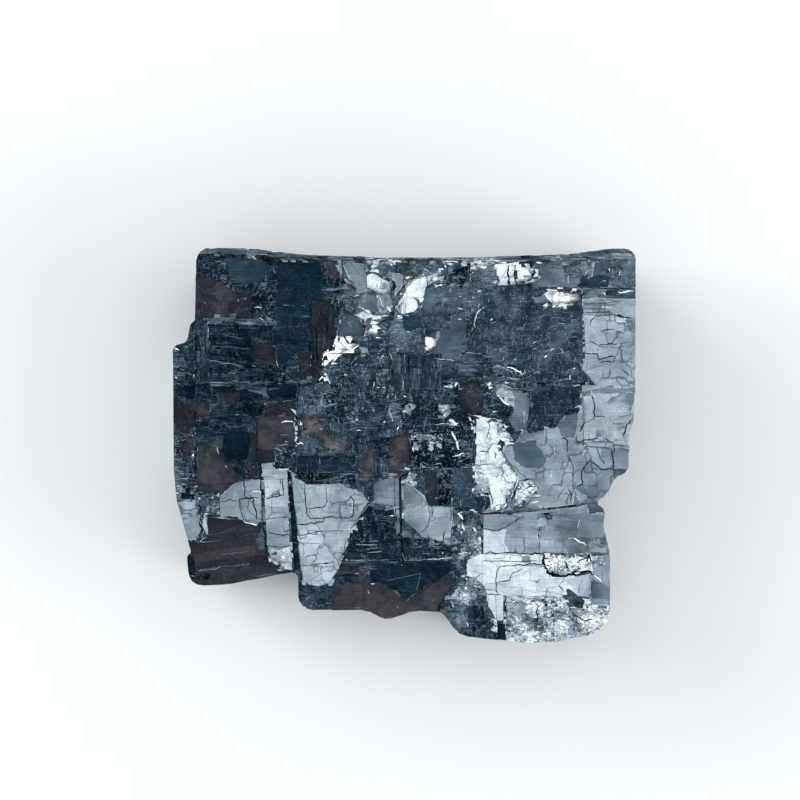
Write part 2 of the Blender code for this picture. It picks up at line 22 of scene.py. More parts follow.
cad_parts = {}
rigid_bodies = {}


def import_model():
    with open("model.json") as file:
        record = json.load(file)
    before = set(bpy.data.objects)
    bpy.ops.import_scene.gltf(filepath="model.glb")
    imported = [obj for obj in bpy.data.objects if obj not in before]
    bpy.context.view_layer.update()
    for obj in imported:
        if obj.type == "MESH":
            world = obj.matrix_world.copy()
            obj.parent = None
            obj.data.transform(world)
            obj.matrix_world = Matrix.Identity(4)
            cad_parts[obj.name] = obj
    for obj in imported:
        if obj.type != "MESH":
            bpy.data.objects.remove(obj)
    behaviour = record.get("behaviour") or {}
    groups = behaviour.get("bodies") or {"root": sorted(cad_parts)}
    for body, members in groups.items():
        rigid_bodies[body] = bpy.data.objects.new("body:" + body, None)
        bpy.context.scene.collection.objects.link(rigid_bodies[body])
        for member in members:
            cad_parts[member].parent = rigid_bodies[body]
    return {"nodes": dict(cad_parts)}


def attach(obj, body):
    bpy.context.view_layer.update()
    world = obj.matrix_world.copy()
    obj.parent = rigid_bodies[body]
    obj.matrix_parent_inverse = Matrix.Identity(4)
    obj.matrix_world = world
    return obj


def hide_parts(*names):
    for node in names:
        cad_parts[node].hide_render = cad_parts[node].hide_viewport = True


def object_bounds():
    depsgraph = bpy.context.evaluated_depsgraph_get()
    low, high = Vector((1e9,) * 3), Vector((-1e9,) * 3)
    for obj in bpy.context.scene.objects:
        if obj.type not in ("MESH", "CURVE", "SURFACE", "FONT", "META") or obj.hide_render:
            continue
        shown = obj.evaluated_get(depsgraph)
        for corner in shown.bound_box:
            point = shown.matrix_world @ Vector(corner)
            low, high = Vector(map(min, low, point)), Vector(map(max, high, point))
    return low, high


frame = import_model()
cad_low, cad_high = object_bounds()
MM = 0.001  # one millimetre in scene units
SEED = 9
print("packed block, mm:", [round((b - a) / MM, 1) for a, b in zip(cad_low, cad_high)])

# %% [markdown]
# ## Working in millimetres
#
# The block is copied into a bmesh, where one unit is a millimetre until the last step. The packed
# mesh comes as loose triangles. A remesh would round its sharp ledges. Welding the corners and
# dissolving the edges between level triangles gives back the real cleavage planes, one face each.


# %% The block's own planes
def in_order(mesh):
    """A copy of a mesh with corners and faces sorted by place; a Boolean's order is chance."""
    spots = [tuple(round(value, 5) for value in corner.co) for corner in mesh.vertices]
    order = sorted(range(len(spots)), key=spots.__getitem__)
    rank = {old: new for new, old in enumerate(order)}
    rings = [[rank[index] for index in face.vertices] for face in mesh.polygons]
    starts = [ring.index(min(ring)) for ring in rings]
    rings = sorted(ring[start:] + ring[:start] for ring, start in zip(rings, starts))
    tidy = bpy.data.meshes.new(mesh.name)
    tidy.from_pydata([spots[index] for index in order], [], rings)
    return tidy


WELD = 0.002  # corners nearer than this are one
LEVEL = math.radians(0.15)  # faces that bend less than this are one plane


def planes_of(mesh, scale=1.0):
    """A welded copy of a mesh in which level neighbours are one face."""
    shape = bmesh.new()
    shape.from_mesh(mesh)
    bmesh.ops.scale(shape, vec=(scale, scale, scale), verts=shape.verts)
    bmesh.ops.remove_doubles(shape, verts=shape.verts, dist=WELD)
    bmesh.ops.dissolve_limit(shape, angle_limit=LEVEL, verts=shape.verts, edges=shape.edges)
    shape.normal_update()
    return shape


packed = planes_of(frame["nodes"]["galena"].data, 1 / MM)
above = BVHTree.FromBMesh(packed)
TOP = cad_high.z / MM
BROAD = TOP - 7  # all the terraces of the broad face lie higher than this
print("cleavage planes in the packed block:", len(packed.faces))

# %% [markdown]
# ## What lies where on the broad face
#
# A fresh cleavage plane is almost a mirror. Weathering dulls it through grey to slate and nearly
# black, and iron-bearing water leaves a brown film. These grounds lie side by side with hard
# borders, because each plate came off at its own time. Each area's shade stands partly for its
# ground and partly for painted reflection: how bright or dark the plate shows under the lamps is
# painted into its colour. A noise texture would give soft clouds, so the borders are drawn as
# outlines.
#
# Each area has a shade (0 black, 1 navy, 2 slate, 3 dull, 4 grey, 5 pale, 6 fresh; under zero a
# brown film, thicker and paler further down), a grain that says how finely it has split, how deep
# its edge steps down in mm, and its outline in mm as seen from above. Later areas lie over
# earlier ones.

# %% Areas of the broad face
AREAS = [
    # The far left corner, one large dull block in thin shelves.
    (1.0, "pitted", 0, [(-28, 26), (-16, 26), (-7.9, 25), (-8.1, 20.6), (-8.7, 15), (-9.2, 12.4),
     (-10.4, 12), (-10.5, 9), (-11.9, 7.6), (-28, 7.9)]),
    (-0.75, "pitted", 0.05, [(-27.6, 21.7), (-25.9, 22), (-23.7, 21.3), (-22.2, 20.2), (-21.7, 19),
     (-22.8, 18.1), (-22.5, 16.6), (-27.6, 16.6)]),
    (-0.4, "pitted", 0.03, [(-20.9, 20.2), (-19.6, 20.2), (-19.8, 16.9), (-22.5, 16.6), (-22.8, 18.1),
     (-21.7, 18.9)]),
    (2.1, "whole", 0, [(-23.2, 24.6), (-22.9, 22.6), (-21.9, 21.4), (-20.2, 21), (-18.6, 21.4),
     (-17.8, 22.3), (-17.5, 23.5), (-18.6, 24.3)]),
    (1.15, "whole", 0.06, [(-16.5, 23.9), (-10.9, 23.9), (-10.5, 22.2), (-10.8, 19.4), (-11.7, 18.5),
     (-13.5, 18.2), (-16.5, 18.3)]),
    (0.85, "bedded", 0, [(-16.5, 18.3), (-13.5, 18.2), (-11.7, 18.5), (-11.6, 15.7), (-13.3, 15.5),
     (-16.6, 15.7)]),
    (1.15, "bedded", 0, [(-16.8, 15.6), (-13.3, 15.5), (-12, 15.5), (-12, 12.2), (-14, 12.2),
     (-14.8, 11.1), (-16.6, 11.1)]),
    (-0.05, "pitted", 0, [(-13.9, 12.5), (-12, 12.1), (-10.5, 12), (-10.5, 9), (-12, 7.7), (-13.5, 7.5),
     (-13.8, 9.9)]),
    (-0.3, "fibrous", 0.05, [(-11.8, 18.9), (-9.6, 19.1), (-8.9, 15), (-9.4, 12.4), (-10.6, 12),
     (-10.8, 9.2), (-12.2, 9.3), (-12, 12.6)]),
    (-1.3, "pitted", 0.04, [(-10.2, 24.2), (-8.1, 24.1), (-8.4, 21.8), (-9.6, 21.9)]),
    (0.75, "laminar", 0, [(-25.5, 15.8), (-17, 15.7), (-17, 8.5), (-25.4, 8.5)]),
    (-0.35, "laminar", 0.04, [(-19.4, 13.2), (-17.2, 13.4), (-16.6, 10.6), (-19.8, 10.4)]),
    (1.75, "fibrous", 0.06, [(-27.6, 16.6), (-25.5, 16.3), (-25.2, 8), (-25.5, -4.7), (-27.6, -4.7)]),
    (3.05, "laminar", 0.05, [(-26, 16.6), (-22.3, 16.7), (-20.6, 16.5), (-16.6, 16.1), (-17, 15.8),
     (-21.5, 15.8), (-26, 16.1)]),
    # The long ledge on the left, lower than the face.
    (1.8, "rubbly", 0, [(-31, 13.8), (-28, 14), (-27.4, 16.5), (-27.2, 8), (-27, -5.1), (-31, -5.1)]),
    (-0.35, "pitted", 0, [(-30, 5.9), (-26.9, 5.9), (-26.9, 2.5), (-28.9, 2), (-29.9, 2.2)]),
    (-0.9, "pitted", 0, [(-29.1, 0.3), (-27.6, 0.7), (-27, -0.8), (-28.3, -1.4), (-29.1, -0.8)]),
    (0.7, "whole", 0.03, [(-29.4, 7.8), (-27.3, 7.9), (-27.2, 6.4), (-28.1, 6.1), (-29.1, 6.4)]),
    # Left of the middle: treads with brown films.
    (1.35, "laminar", 0, [(-27, 8.1), (-12.2, 8.1), (-13.7, 5), (-14.1, -3), (-18.6, -4.4),
     (-27, -5.6)]),
    (0.4, "whole", 0.03, [(-24.8, 7.8), (-22.2, 7.9), (-21.8, 7.2), (-24.4, 7), (-25, 6.4)]),
    (0.55, "whole", 0.03, [(-21.3, 7.3), (-18.5, 7.4), (-18.3, 6.1), (-20, 5.7), (-21.3, 6)]),
    (0.0, "whole", 0.04, [(-20.9, 5.5), (-18.2, 5.5), (-18.3, 4), (-19.8, 3.8), (-20.9, 4.2)]),
    (0.55, "whole", 0.03, [(-17.7, 8.1), (-13.9, 8.1), (-14, 6.2), (-17.4, 6.1), (-17.9, 6.9)]),
    (1.75, "whole", 0.04, [(-13.5, 8.1), (-11.8, 8.2), (-11.4, 7.4), (-12.9, 6.8), (-13.7, 7.2)]),
    (2.75, "laminar", 0.04, [(-27.2, 8.6), (-19, 8.4), (-12, 8.6), (-12, 8.1), (-19, 8), (-27.2, 8.2)]),
    (2.25, "laminar", 0.05, [(-21.4, 7.8), (-18.2, 7.2), (-17.8, 7.5), (-16, 7.9), (-16, 7.6),
     (-18.4, 6.8), (-21.4, 7.4)]),
    (-0.5, "pitted", 0.03, [(-24.2, 7), (-21.4, 6.9), (-21.6, 5.4), (-24.4, 5.2)]),
    (-0.9, "pitted", 0.03, [(-26.9, 5.1), (-25.1, 4.9), (-25, 3.6), (-26.8, 3.3)]),
    (-1.3, "whole", 0, [(-19, 3.6), (-18.2, 3.8), (-14.3, 4), (-14.4, 0.7), (-15.2, -0.4),
     (-17.2, -0.7), (-19.1, -0.3), (-19.4, 1.8)]),
    (-0.25, "pitted", 0, [(-18.2, 5.9), (-14.3, 6), (-13.9, 5.6), (-13.9, 4), (-18.2, 3.8)]),
    (-0.4, "pitted", 0, [(-20.4, 2.2), (-19.1, 2.5), (-19.1, -1.7), (-20.4, -1.8)]),
    (-0.65, "pitted", 0.03, [(-20.8, -2), (-19, -2), (-19, -3.9), (-20, -4.2), (-20.8, -3.8)]),
    (0.75, "whole", 0, [(-23.4, 1.6), (-22.4, 2.3), (-20.4, 2.1), (-20, 0.8), (-20.2, -0.8),
     (-20.5, -1.7), (-21.6, -2), (-22.9, -1.7), (-23.7, -0.5)]),
    (-1.2, "whole", 0.05, [(-26.8, -0.1), (-24.7, -0.1), (-24.1, -1.3), (-23.1, -2.2), (-22, -3.4),
     (-20.9, -4.4), (-22.4, -4.9), (-24.2, -6.2), (-26.8, -5.9)]),
    (-0.25, "pitted", 0.04, [(-19.2, -0.7), (-16.8, -0.5), (-16.8, -2.1), (-18.1, -2.3), (-19.2, -2)]),
    (1.05, "rubbly", 0, [(-16.9, -0.2), (-14.2, -0.2), (-14.1, -2.9), (-16.8, -2.8)]),
    (4.9, "crushed", 0.03, [(-14.1, 4.6), (-13.2, 4.4), (-13.1, -0.9), (-14.1, -1.1)]),
    # The basin in the middle.
    (2.1, "pitted", 0, [(-13.5, 7.4), (-11.5, 8.1), (-10.5, 9.3), (-9, 8), (-6.2, 5), (-6.3, 0.9),
     (-6.3, -1.2), (-13.9, -1.2), (-13.9, 5)]),
    (0.8, "pitted", 0, [(-10, 7), (-8.8, 7.9), (-7.7, 7.7), (-6.2, 6), (-6.6, 4.4), (-8.3, 2.9),
     (-9.6, 3.2), (-10.3, 4.7)]),
    (1, "whole", 0, [(-5.6, 5.3), (-4.3, 5.7), (-3.4, 5.5), (-3.5, 3.6), (-4.8, 3.8), (-5.6, 4.4)]),
    (2.65, "pitted", 0, [(-13.5, 3.2), (-11.2, 0.4), (-9.6, -1.3), (-12, -1.3), (-12.3, -0.3),
     (-13.5, 0)]),
    (-2.0, "pitted", 0.03, [(-13, 4.2), (-11.6, 3.6), (-9.8, 1.7), (-7.9, 0.2), (-7.8, -1.1), (-9.6, -1),
     (-11.2, 0.8), (-13.2, 1.6)]),
    (1.3, "pitted", 0.05, [(-12.6, -0.3), (-10.9, -0.2), (-10.7, -0.9), (-12.3, -1)]),
    (1.75, "rubbly", 0, [(-10.5, 10.3), (-9.3, 11), (-8.4, 12), (-2, 12.2), (-1.9, 7.6), (-2.4, 2.4),
     (-6.2, 0.9), (-6.1, 5.2), (-9.8, 8.2)]),
    (1.5, "pitted", 0.03, [(-8.5, 14.2), (-1.9, 14.1), (-1.9, 12.1), (-8.4, 12)]),
    (1.35, "blocky", 0, [(-13.9, -1.3), (-6.4, -1.3), (-6.3, -4.9), (-12.8, -5), (-13.9, -4)]),
    (0.5, "pitted", 0.04, [(-13.9, -3.2), (-9.5, -3.4), (-6.4, -3.8), (-6.4, -4.9), (-12.8, -5),
     (-13.9, -4.1)]),
    (-1.75, "whole", 0.06, [(-5.8, -1.6), (-5.2, -0.7), (-4.2, -0.8), (-3.8, -2), (-4.2, -3.4),
     (-5.2, -3.8), (-5.8, -3)]),
    (1.35, "fibrous", 0, [(-3.8, 0.6), (-1.9, 1.2), (-1.9, -3.8), (-4.1, -3.8)]),
    (-1.2, "pitted", 0, [(-1.9, 1.3), (0.5, 1.7), (0.8, -1), (-0.2, -3.6), (-2, -3.7)]),
    # The spalled hollow in the middle of the far edge.
    (2.7, "rubbly", 0, [(-8.1, 24.3), (12.1, 24.3), (12.1, 20.5), (7, 20.5), (3.2, 20.2), (2, 17),
     (-1.5, 14), (-8.6, 14.1)]),
    (3.75, "whole", 0, [(-8.1, 24), (-5.3, 23.8), (-4.9, 22.2), (-4.8, 20), (-6, 19.8), (-6.6, 20.8),
     (-8.1, 22.2)]),
    (7.0, "pitted", 0, [(-8, 22.2), (-7.6, 21.2), (-6.3, 20.6), (-6.8, 21.5)]),
    (5.65, "blocky", 0, [(-4.9, 22.2), (-4.1, 22.5), (-3, 21.9), (-1.7, 21.2), (-1.8, 19.8),
     (-3.2, 19.9), (-4.3, 20.4), (-4.9, 21.2)]),
    (5.85, "blocky", 0, [(0, 21.5), (1.9, 22.2), (3, 22.1), (3, 20.8), (2.3, 19.2), (1.4, 19.3),
     (1.9, 18.2), (1.4, 17.5), (0.3, 17.2), (-0.7, 16.2), (-1.1, 17.9), (-0.5, 18.9), (0.2, 20.1)]),
    (4.85, "pitted", 0, [(3, 22.5), (5.6, 22.5), (5.2, 21.8), (3.9, 21), (3, 20.4)]),
    (5.65, "pitted", 0, [(-6.7, 18.1), (-5.6, 17.9), (-4, 17), (-2.4, 16.9), (-2.7, 16.2), (-3.5, 15.9),
     (-2.6, 14.7), (-4.7, 14.5), (-5, 16.4), (-6.5, 17)]),
    (3.1, "whole", 0.05, [(-4.9, 19.8), (-3.6, 19.7), (-3.3, 17.9), (-3.8, 17.5), (-5.1, 17.9)]),
    (2.85, "whole", 0.05, [(-6.9, 17.1), (-5.8, 16.5), (-5.1, 15), (-5.2, 14.3), (-8.2, 14.3),
     (-8.3, 16)]),
    (5.05, "rubbly", 0.05, [(-8.1, 16.6), (-6.8, 16.1), (-6.7, 15.4), (-8, 16.2)]),
    (6.7, "pitted", 0, [(-8.8, 14.4), (-7.9, 14.2), (-7.3, 13.4), (-5.8, 13.1), (-6.6, 12.5), (-8, 12.2),
     (-8.4, 11.7), (-9.4, 11.2), (-10.4, 10.4), (-10.4, 12.1), (-9.1, 12.4), (-8.9, 13.5)]),
    (5.9, "pitted", 0.08, [(-10.8, 9.4), (-10.2, 9.6), (-9.6, 8.2), (-9.8, 7.9), (-10.4, 8.4)]),
    (3.6, "whole", 0.1, [(-5.6, 12.9), (-5, 12.9), (-4.4, 11.9), (-5.5, 12)]),
    (3.5, "whole", 0, [(-1.9, 12.9), (-1.2, 12.8), (-1, 11.4), (-1.3, 9.9), (-1.9, 8.1), (-1.7, 10.6)]),
    (0.2, "pitted", 0.05, [(5.6, 23.3), (7, 23.4), (7.1, 21.3), (5.7, 21)]),
    (0.0, "pitted", 0.05, [(7.4, 23.8), (8.6, 23.8), (8.7, 21.6), (7.5, 21.4)]),
    # The middle, behind the centre.
    (2.75, "pitted", 0, [(-1.8, 17.1), (9.6, 17.6), (10.2, 20.6), (2.9, 20.4), (2, 17.3)]),
    (2.65, "pitted", 0, [(-1.8, 17), (2.4, 17), (3.2, 12.2), (-1.8, 12.2)]),
    (5.15, "crushed", 0, [(-5.3, 24.6), (-1.2, 24.4), (-1, 23.6), (-2.6, 23.7), (-4.6, 23.5)]),
    (5.15, "crushed", 0, [(4.8, 24.5), (12, 24.4), (11.8, 23.7), (9.6, 23.3), (7.2, 23.9), (5, 23.8)]),
    (2.85, "whole", 0.04, [(2.9, 20.8), (3.9, 21.2), (4.2, 19), (3.4, 17.4), (2.6, 17.9), (2.6, 19.4)]),
    (3.8, "whole", 0.04, [(-1.6, 22.6), (-0.2, 22.4), (-0.2, 20.6), (-1.2, 19.6), (-1.8, 20.6)]),
    (3.75, "whole", 0.04, [(-3.4, 19.9), (-1.8, 19.8), (-1.4, 18.2), (-2.4, 17.3), (-3.3, 17.4)]),
    (2.0, "whole", 0.05, [(-0.3, 17), (2.5, 17.1), (2.3, 15.4), (0.6, 14.9), (-0.2, 15.4)]),
    (2.8, "whole", 0, [(3.3, 14.4), (4.2, 15), (5.9, 15.2), (6.2, 17), (8, 17.3), (8, 14.8), (7, 11.2),
     (3.4, 11.5)]),
    (3.7, "whole", 0.04, [(4.1, 14), (4.3, 14.9), (4.7, 14.9), (4.6, 14.1), (4.2, 13.5)]),
    (7.0, "whole", 0, [(2.8, 14.2), (3.6, 14.1), (4.2, 13.8), (4, 13), (3.4, 12.6), (2.8, 13.2)]),
    (2.05, "pitted", 0, [(8, 18), (9.9, 18), (9.9, 11.2), (8.1, 11.2)]),
    (2.05, "fibrous", 0, [(-1.8, 12), (4.9, 12), (5, 7.2), (-0.9, 7.2), (-1.7, 9)]),
    (0.65, "rubbly", 0, [(-2.4, 7.4), (5.2, 7.2), (8.6, 4), (9.2, -2.9), (0.9, -2.9), (0.6, 1.7),
     (-2.4, 2.4)]),
    (1.95, "pitted", 0, [(-2.1, 9.1), (-0.9, 7.2), (2, 7.2), (2, 5.7), (0, 5.9), (-1.6, 6.2),
     (-2.2, 7.3)]),
    (1.9, "pitted", 0, [(2.5, 7), (5.2, 7), (6.2, 6.2), (6, 5.5), (4.4, 5.6), (2.6, 5.2)]),
    (1.15, "pitted", 0, [(0, 4.2), (2.6, 4.3), (4.2, 3.9), (3.9, 1.8), (1, 1.8), (0, 2.9)]),
    (0.15, "rubbly", 0, [(1.3, 0.8), (2.1, 0.4), (3.6, -0.7), (4.7, 0.7), (6.2, -0.1), (7, -2.9),
     (1, -2.9)]),
    (1.9, "laminar", 0, [(5, 11.2), (10.4, 11), (10.3, 8.9), (5, 8.8)]),
    # The dark slab right of the middle, and its broken lower rail.
    (2.1, "fine", 0, [(9.9, 20.4), (18.2, 20.2), (18.6, 18.7), (23.2, 18.5), (23.5, 16), (23.6, 11.2),
     (23, 10.2), (16, 10.2), (10, 11)]),
    (2.65, "whole", 0.03, [(18.4, 11.6), (19.6, 13.4), (21.3, 15.6), (22.2, 16.2), (22.4, 15.7),
     (21, 13.8), (19.6, 12), (18.6, 11.2)]),
    (2.1, "rubbly", 0, [(10, 10.9), (13.4, 10.8), (15.9, 9.9), (23, 10.3), (24, 9.1), (23.9, 7.9),
     (16.6, 7.7), (14.1, 7.6), (12.3, 8.5), (10.2, 8.9)]),
    (1.55, "rubbly", 0, [(7.2, 8.4), (9.6, 8.6), (10.5, 8), (11.6, 6.6), (14.2, 5.1), (14.5, 4.1),
     (12.6, 3.6), (10.4, 3.9), (7.5, 4.1), (6.6, 5.6), (6.5, 7.2)]),
    (-0.65, "pitted", 0, [(7.3, 8.3), (9.4, 8.4), (10.6, 7.2), (11.2, 5.8), (10.6, 4.6), (9, 4.3),
     (7.6, 4.6), (6.9, 6.2)]),
    (1.4, "pitted", 0.04, [(9.7, 7.2), (11.4, 6.4), (13.9, 4.9), (13, 4.2), (10.2, 5)]),
    (7.0, "crushed", 0.06, [(10.5, 8.7), (11.3, 8.3), (11.5, 7.6), (11.1, 7.4), (10.9, 7.9)]),
    (5.6, "crushed", 0.06, [(5, 8.3), (5.9, 8.2), (7, 8.6), (7.3, 8.4), (6.3, 7.8), (6.2, 7),
     (5.9, 7.6), (5.2, 7.7)]),
    # Along the far edge, right of the hollow.
    (5.65, "blocky", 0, [(12.2, 23.7), (13.5, 23.8), (13.6, 21), (12, 20.8), (12.5, 21.6)]),
    (5.4, "blocky", 0, [(13.8, 23.6), (14.4, 23.5), (14.3, 21.9), (14.7, 21), (13.8, 21)]),
    (6.05, "pitted", 0, [(14.6, 23.6), (15.7, 23.7), (16.7, 22.4), (16.2, 21.8), (14.7, 22)]),
    (4.8, "rubbly", 0, [(16.2, 23.9), (17.6, 23.6), (17.4, 21.6), (16.2, 21.2), (14.8, 21),
     (14.8, 21.8), (16.2, 21.8), (16.8, 22.4)]),
    (3.05, "blocky", 0, [(17.4, 24), (21, 24.1), (21.2, 22), (22.9, 21.8), (22.9, 20.7), (16.6, 20.7),
     (17.6, 21.8)]),
    (2.25, "rubbly", 0, [(20.4, 24.2), (23.2, 24.2), (23.2, 22), (21.2, 22)]),
    (2.85, "pitted", 0, [(23.1, 24.2), (31, 24.2), (31, 22.2), (25, 22.1), (23.2, 21.4)]),
    (2.7, "pitted", 0.04, [(22.9, 21.3), (25, 22), (31, 22.1), (31, 20.6), (25.9, 20.5), (22.9, 20.7)]),
    (2.5, "whole", 0.04, [(24.4, 22), (24.9, 23.9), (27, 24), (27.1, 23.3), (26.2, 22.7),
     (25.7, 22.2)]),
    (1.7, "whole", 0.03, [(22.5, 21), (24.4, 22), (25.7, 22.2), (26.9, 22), (26.4, 20.5),
     (23.2, 20.4)]),
    (2.0, "pitted", 0, [(26.2, 22.7), (27.1, 23.3), (28.2, 23.5), (28.4, 22.9), (27.2, 22.2)]),
    (2.9, "whole", 0.03, [(28.2, 23.5), (31, 23.5), (31, 22.9), (29.4, 22.3), (28.6, 22.6)]),
    (3.6, "laminar", 0, [(23.1, 20.7), (31, 20.7), (31, 19.1), (23.1, 19.2)]),
    (7.0, "blocky", 0, [(18.1, 19.6), (18.9, 20.3), (20.2, 20.1), (21.4, 19.9), (22.2, 20.2), (23, 19),
     (22, 18.5), (20.2, 18.5), (19.4, 18.4), (18.9, 19)]),
    (4.65, "crushed", 0.05, [(19.4, 18.4), (20.7, 18.3), (20.8, 17.2), (20.3, 17.3), (20.2, 17.9),
     (19.3, 18)]),
    (3.45, "whole", 0.05, [(16.8, 19.2), (18.4, 19.6), (18.9, 18.8), (17.1, 18.6)]),
    # The right strip.
    (4.05, "blocky", 0, [(23.3, 19.2), (31, 19.2), (31, 7.6), (27, 7.7), (24.2, 7.5), (24, 9.2),
     (23.1, 10.1), (23.6, 11.4)]),
    (4.3, "laminar", 0.04, [(23.3, 19.2), (28.4, 19), (27.2, 17.9), (27, 17.1), (23.4, 16.9)]),
    (3.9, "blocky", 0.05, [(28.6, 13.5), (31, 13.6), (31, 11.9), (28.9, 12)]),
    (3.45, "pitted", 0.05, [(28.8, 16.5), (31, 16.6), (31, 14.9), (29.2, 15.2)]),
    (4.05, "blocky", 0, [(23.2, 7.9), (31, 7.9), (31, -3), (22.4, -0.4), (22.6, 4.2), (23.1, 5)]),
    (3.35, "whole", 0.08, [(24.4, 7.3), (27.2, 7.9), (27.4, 7.5), (31, 7.6), (31, 7.2), (27.2, 6.9),
     (24.8, 6.8)]),
    (3.75, "laminar", 0.05, [(27.3, 2), (31, 3.6), (31, -2.9), (27.4, -3)]),
    (4.1, "whole", 0.05, [(28.4, 1.2), (29.1, 2.8), (31, 3.2), (31, -0.4), (28.9, 0.2)]),
    # The floor below the slab.
    (3.75, "blocky", 0, [(16, 3), (19.6, 2.4), (21.8, 4.2), (23.4, 4.2), (23.4, 0), (28.5, -0.3),
     (31, -3.3), (31, -7), (25.2, -7.3), (18, -8.3), (10.2, -8.8), (11.3, -7.7), (13.4, -1.2),
     (15, 1)]),
    (3.4, "whole", 0, [(24.2, -1.9), (25.8, -3), (27.3, -3.2), (27.6, -4.2), (26.6, -6), (24.8, -7.2),
     (22.4, -5.6), (23.3, -4.9), (23.1, -3.4)]),
    (3.0, "whole", 0.06, [(14.3, 0.5), (17.2, 0.7), (17.3, 0), (18.1, -0.8), (18.5, -2.1), (17.8, -2.9),
     (16.4, -2.9), (15.1, -2.6), (14.3, -1.8)]),
    (3.85, "whole", 0.03, [(12.9, -0.3), (14.2, 0), (14.4, -1.8), (15.6, -2.9), (16.6, -4.2), (15, -4.5),
     (13.8, -3.1), (13, -1.8)]),
    (3.05, "whole", 0.05, [(27.3, -3), (29.1, -3.1), (28.3, -3.9), (27.3, -3.9)]),
    (1.5, "fine", 0.06, [(16.4, 7.5), (22.8, 7.8), (23, 5.1), (22.5, 4.3), (20.9, 4.3), (20.7, 3.1),
     (19.5, 3), (19.2, 2.2), (15.9, 2), (15.7, 2.9), (16.2, 4), (16.6, 6.2)]),
    (3.1, "whole", 0.03, [(20.9, 4), (22.5, 4.2), (22.6, 2.7), (22.1, 1), (20.7, 1), (20.3, 2.1),
     (19.8, 2.5)]),
    (3.3, "whole", 0.04, [(14, 7.1), (15, 7.2), (16, 6.7), (16.5, 6), (16.4, 5.2), (16.2, 4), (16, 1.9),
     (14.2, 2.4), (13.6, 3.4), (14.3, 4.6), (14.4, 5.3), (14.4, 6.2)]),
    (4.4, "pitted", 0.04, [(11.9, 7.3), (12.7, 7.8), (14, 7.1), (14.4, 6.2), (14.4, 5.3), (13.8, 5.3),
     (13.1, 5.7), (12.2, 6.7)]),
    (5.65, "pitted", 0, [(8.4, 3.8), (9.2, 4), (10.5, 3.2), (11.8, 3.6), (12.7, 2.8), (13, 1.6),
     (12, 0), (12.4, -0.4), (13.3, -1.9), (15, -4.2), (14.1, -6.2), (13.2, -6.5), (13.6, -7.7),
     (12, -8.5), (11.4, -8.3), (11.1, -6.6), (8.8, -6.3), (8.9, -2.4), (9.4, -1.5), (9.5, 1.5)]),
    (5.25, "crushed", 0.05, [(10.5, 3.4), (12.8, 3.2), (14.4, 0.4), (13, 0.6), (12, 2.2)]),
    (4.5, "rubbly", 0.05, [(9.4, -3), (11, -4.2), (11.4, -6.4), (8.9, -6.2), (9.6, -4.8)]),
    (5.1, "crushed", 0.05, [(15, -4.7), (16.6, -4.6), (17.5, -5.4), (17.2, -6.3), (15.9, -6.2),
     (15.9, -7.8), (14.4, -8.2), (14.6, -6.4)]),
    (3.05, "laminar", 0.04, [(15.9, -6.4), (17.7, -6.4), (17.7, -8.2), (16, -8.2)]),
    # Below the middle.
    (2.2, "blocky", 0, [(2.7, -3), (9, -2.9), (8.9, -6.6), (10.1, -8.6), (6.6, -7.9), (3.2, -7.9),
     (2.6, -6)]),
    (-0.75, "pitted", 0.04, [(2.7, -3.2), (4.2, -3.1), (4.3, -7.8), (3.2, -7.8), (2.7, -6)]),
    (0.0, "pitted", 0.04, [(4.4, -3.2), (6.2, -3.1), (6.3, -7.8), (4.5, -7.8)]),
    (3.25, "blocky", 0, [(-4, -4.9), (-2.6, -4.3), (-0.5, -4.1), (-0.5, -7.9), (-4, -7.6)]),
    (4.6, "crushed", 0.05, [(0.2, -4.6), (0.7, -3.2), (1.6, -3.3), (1.7, -5.4), (1.1, -5.3)]),
    (4.15, "blocky", 0, [(0, -4.7), (0.9, -5), (2.7, -6.5), (3, -7.7), (6.5, -8), (6.2, -13),
     (4.6, -12.4), (2.2, -11.6), (0.6, -10.4), (-0.1, -9.4)]),
    (3.55, "whole", 0.04, [(0, -4.9), (1, -5.3), (2.6, -6.8), (2.4, -7.7), (0, -8.3)]),
    (2.9, "pitted", 0, [(-0.1, -9.6), (1.2, -10.8), (2.6, -11.6), (1.6, -11.9), (-0.1, -11.9)]),
    (0.95, "pitted", 0, [(-4.6, -7.8), (-1.3, -8), (-1.1, -11.9), (3.4, -12.2), (6.2, -13.2),
     (6.4, -14.6), (-8.1, -14.8), (-7.3, -13), (-7, -10.8), (-6, -9.8), (-5.4, -8.8)]),
    (1.5, "laminar", 0, [(-6.6, -12.4), (-1, -12), (-0.8, -14.9), (-7.6, -14.9)]),
    (3.25, "rubbly", 0.05, [(-1.2, -8.2), (-0.5, -8), (-0.4, -11.8), (-0.9, -11.8)]),
    (2.05, "laminar", 0, [(-8.1, -15), (6.4, -14.9), (6.2, -15.4), (-4.4, -15.6), (-8.4, -16)]),
    (1.1, "whole", 0, [(-4.5, -16.8), (-3.6, -15.5), (6, -15.1), (6.8, -15.9), (5, -17.3),
     (2.2, -18.6), (0.5, -19.9), (-1.5, -18.4), (-4, -17.8)]),
    (-1.15, "whole", 0, [(-9.3, -18), (-8.5, -16.3), (-6, -15.7), (-4.9, -17.2), (-4.3, -17.9),
     (-3.2, -17.7), (-2.6, -18.4), (-1.6, -18.6), (-1.1, -19.4), (-0.2, -19.6), (0.3, -20.3),
     (1.2, -20), (1.5, -19), (2.4, -18.8), (3.3, -17.9), (4.4, -17.8), (5, -17), (6.1, -16.7),
     (6.7, -17.6), (5.5, -19.3), (4.7, -21.6), (2, -23.4), (-10, -23), (-9.4, -19.8)]),
    (1.8, "laminar", 0.05, [(-8.6, -16.8), (-6, -16.6), (-5.6, -17.9), (-9, -17.9)]),
    (1.85, "pitted", 0, [(-14.3, -17.9), (-11.5, -18.4), (-9.3, -18.2), (-9.3, -23), (-14.5, -23)]),
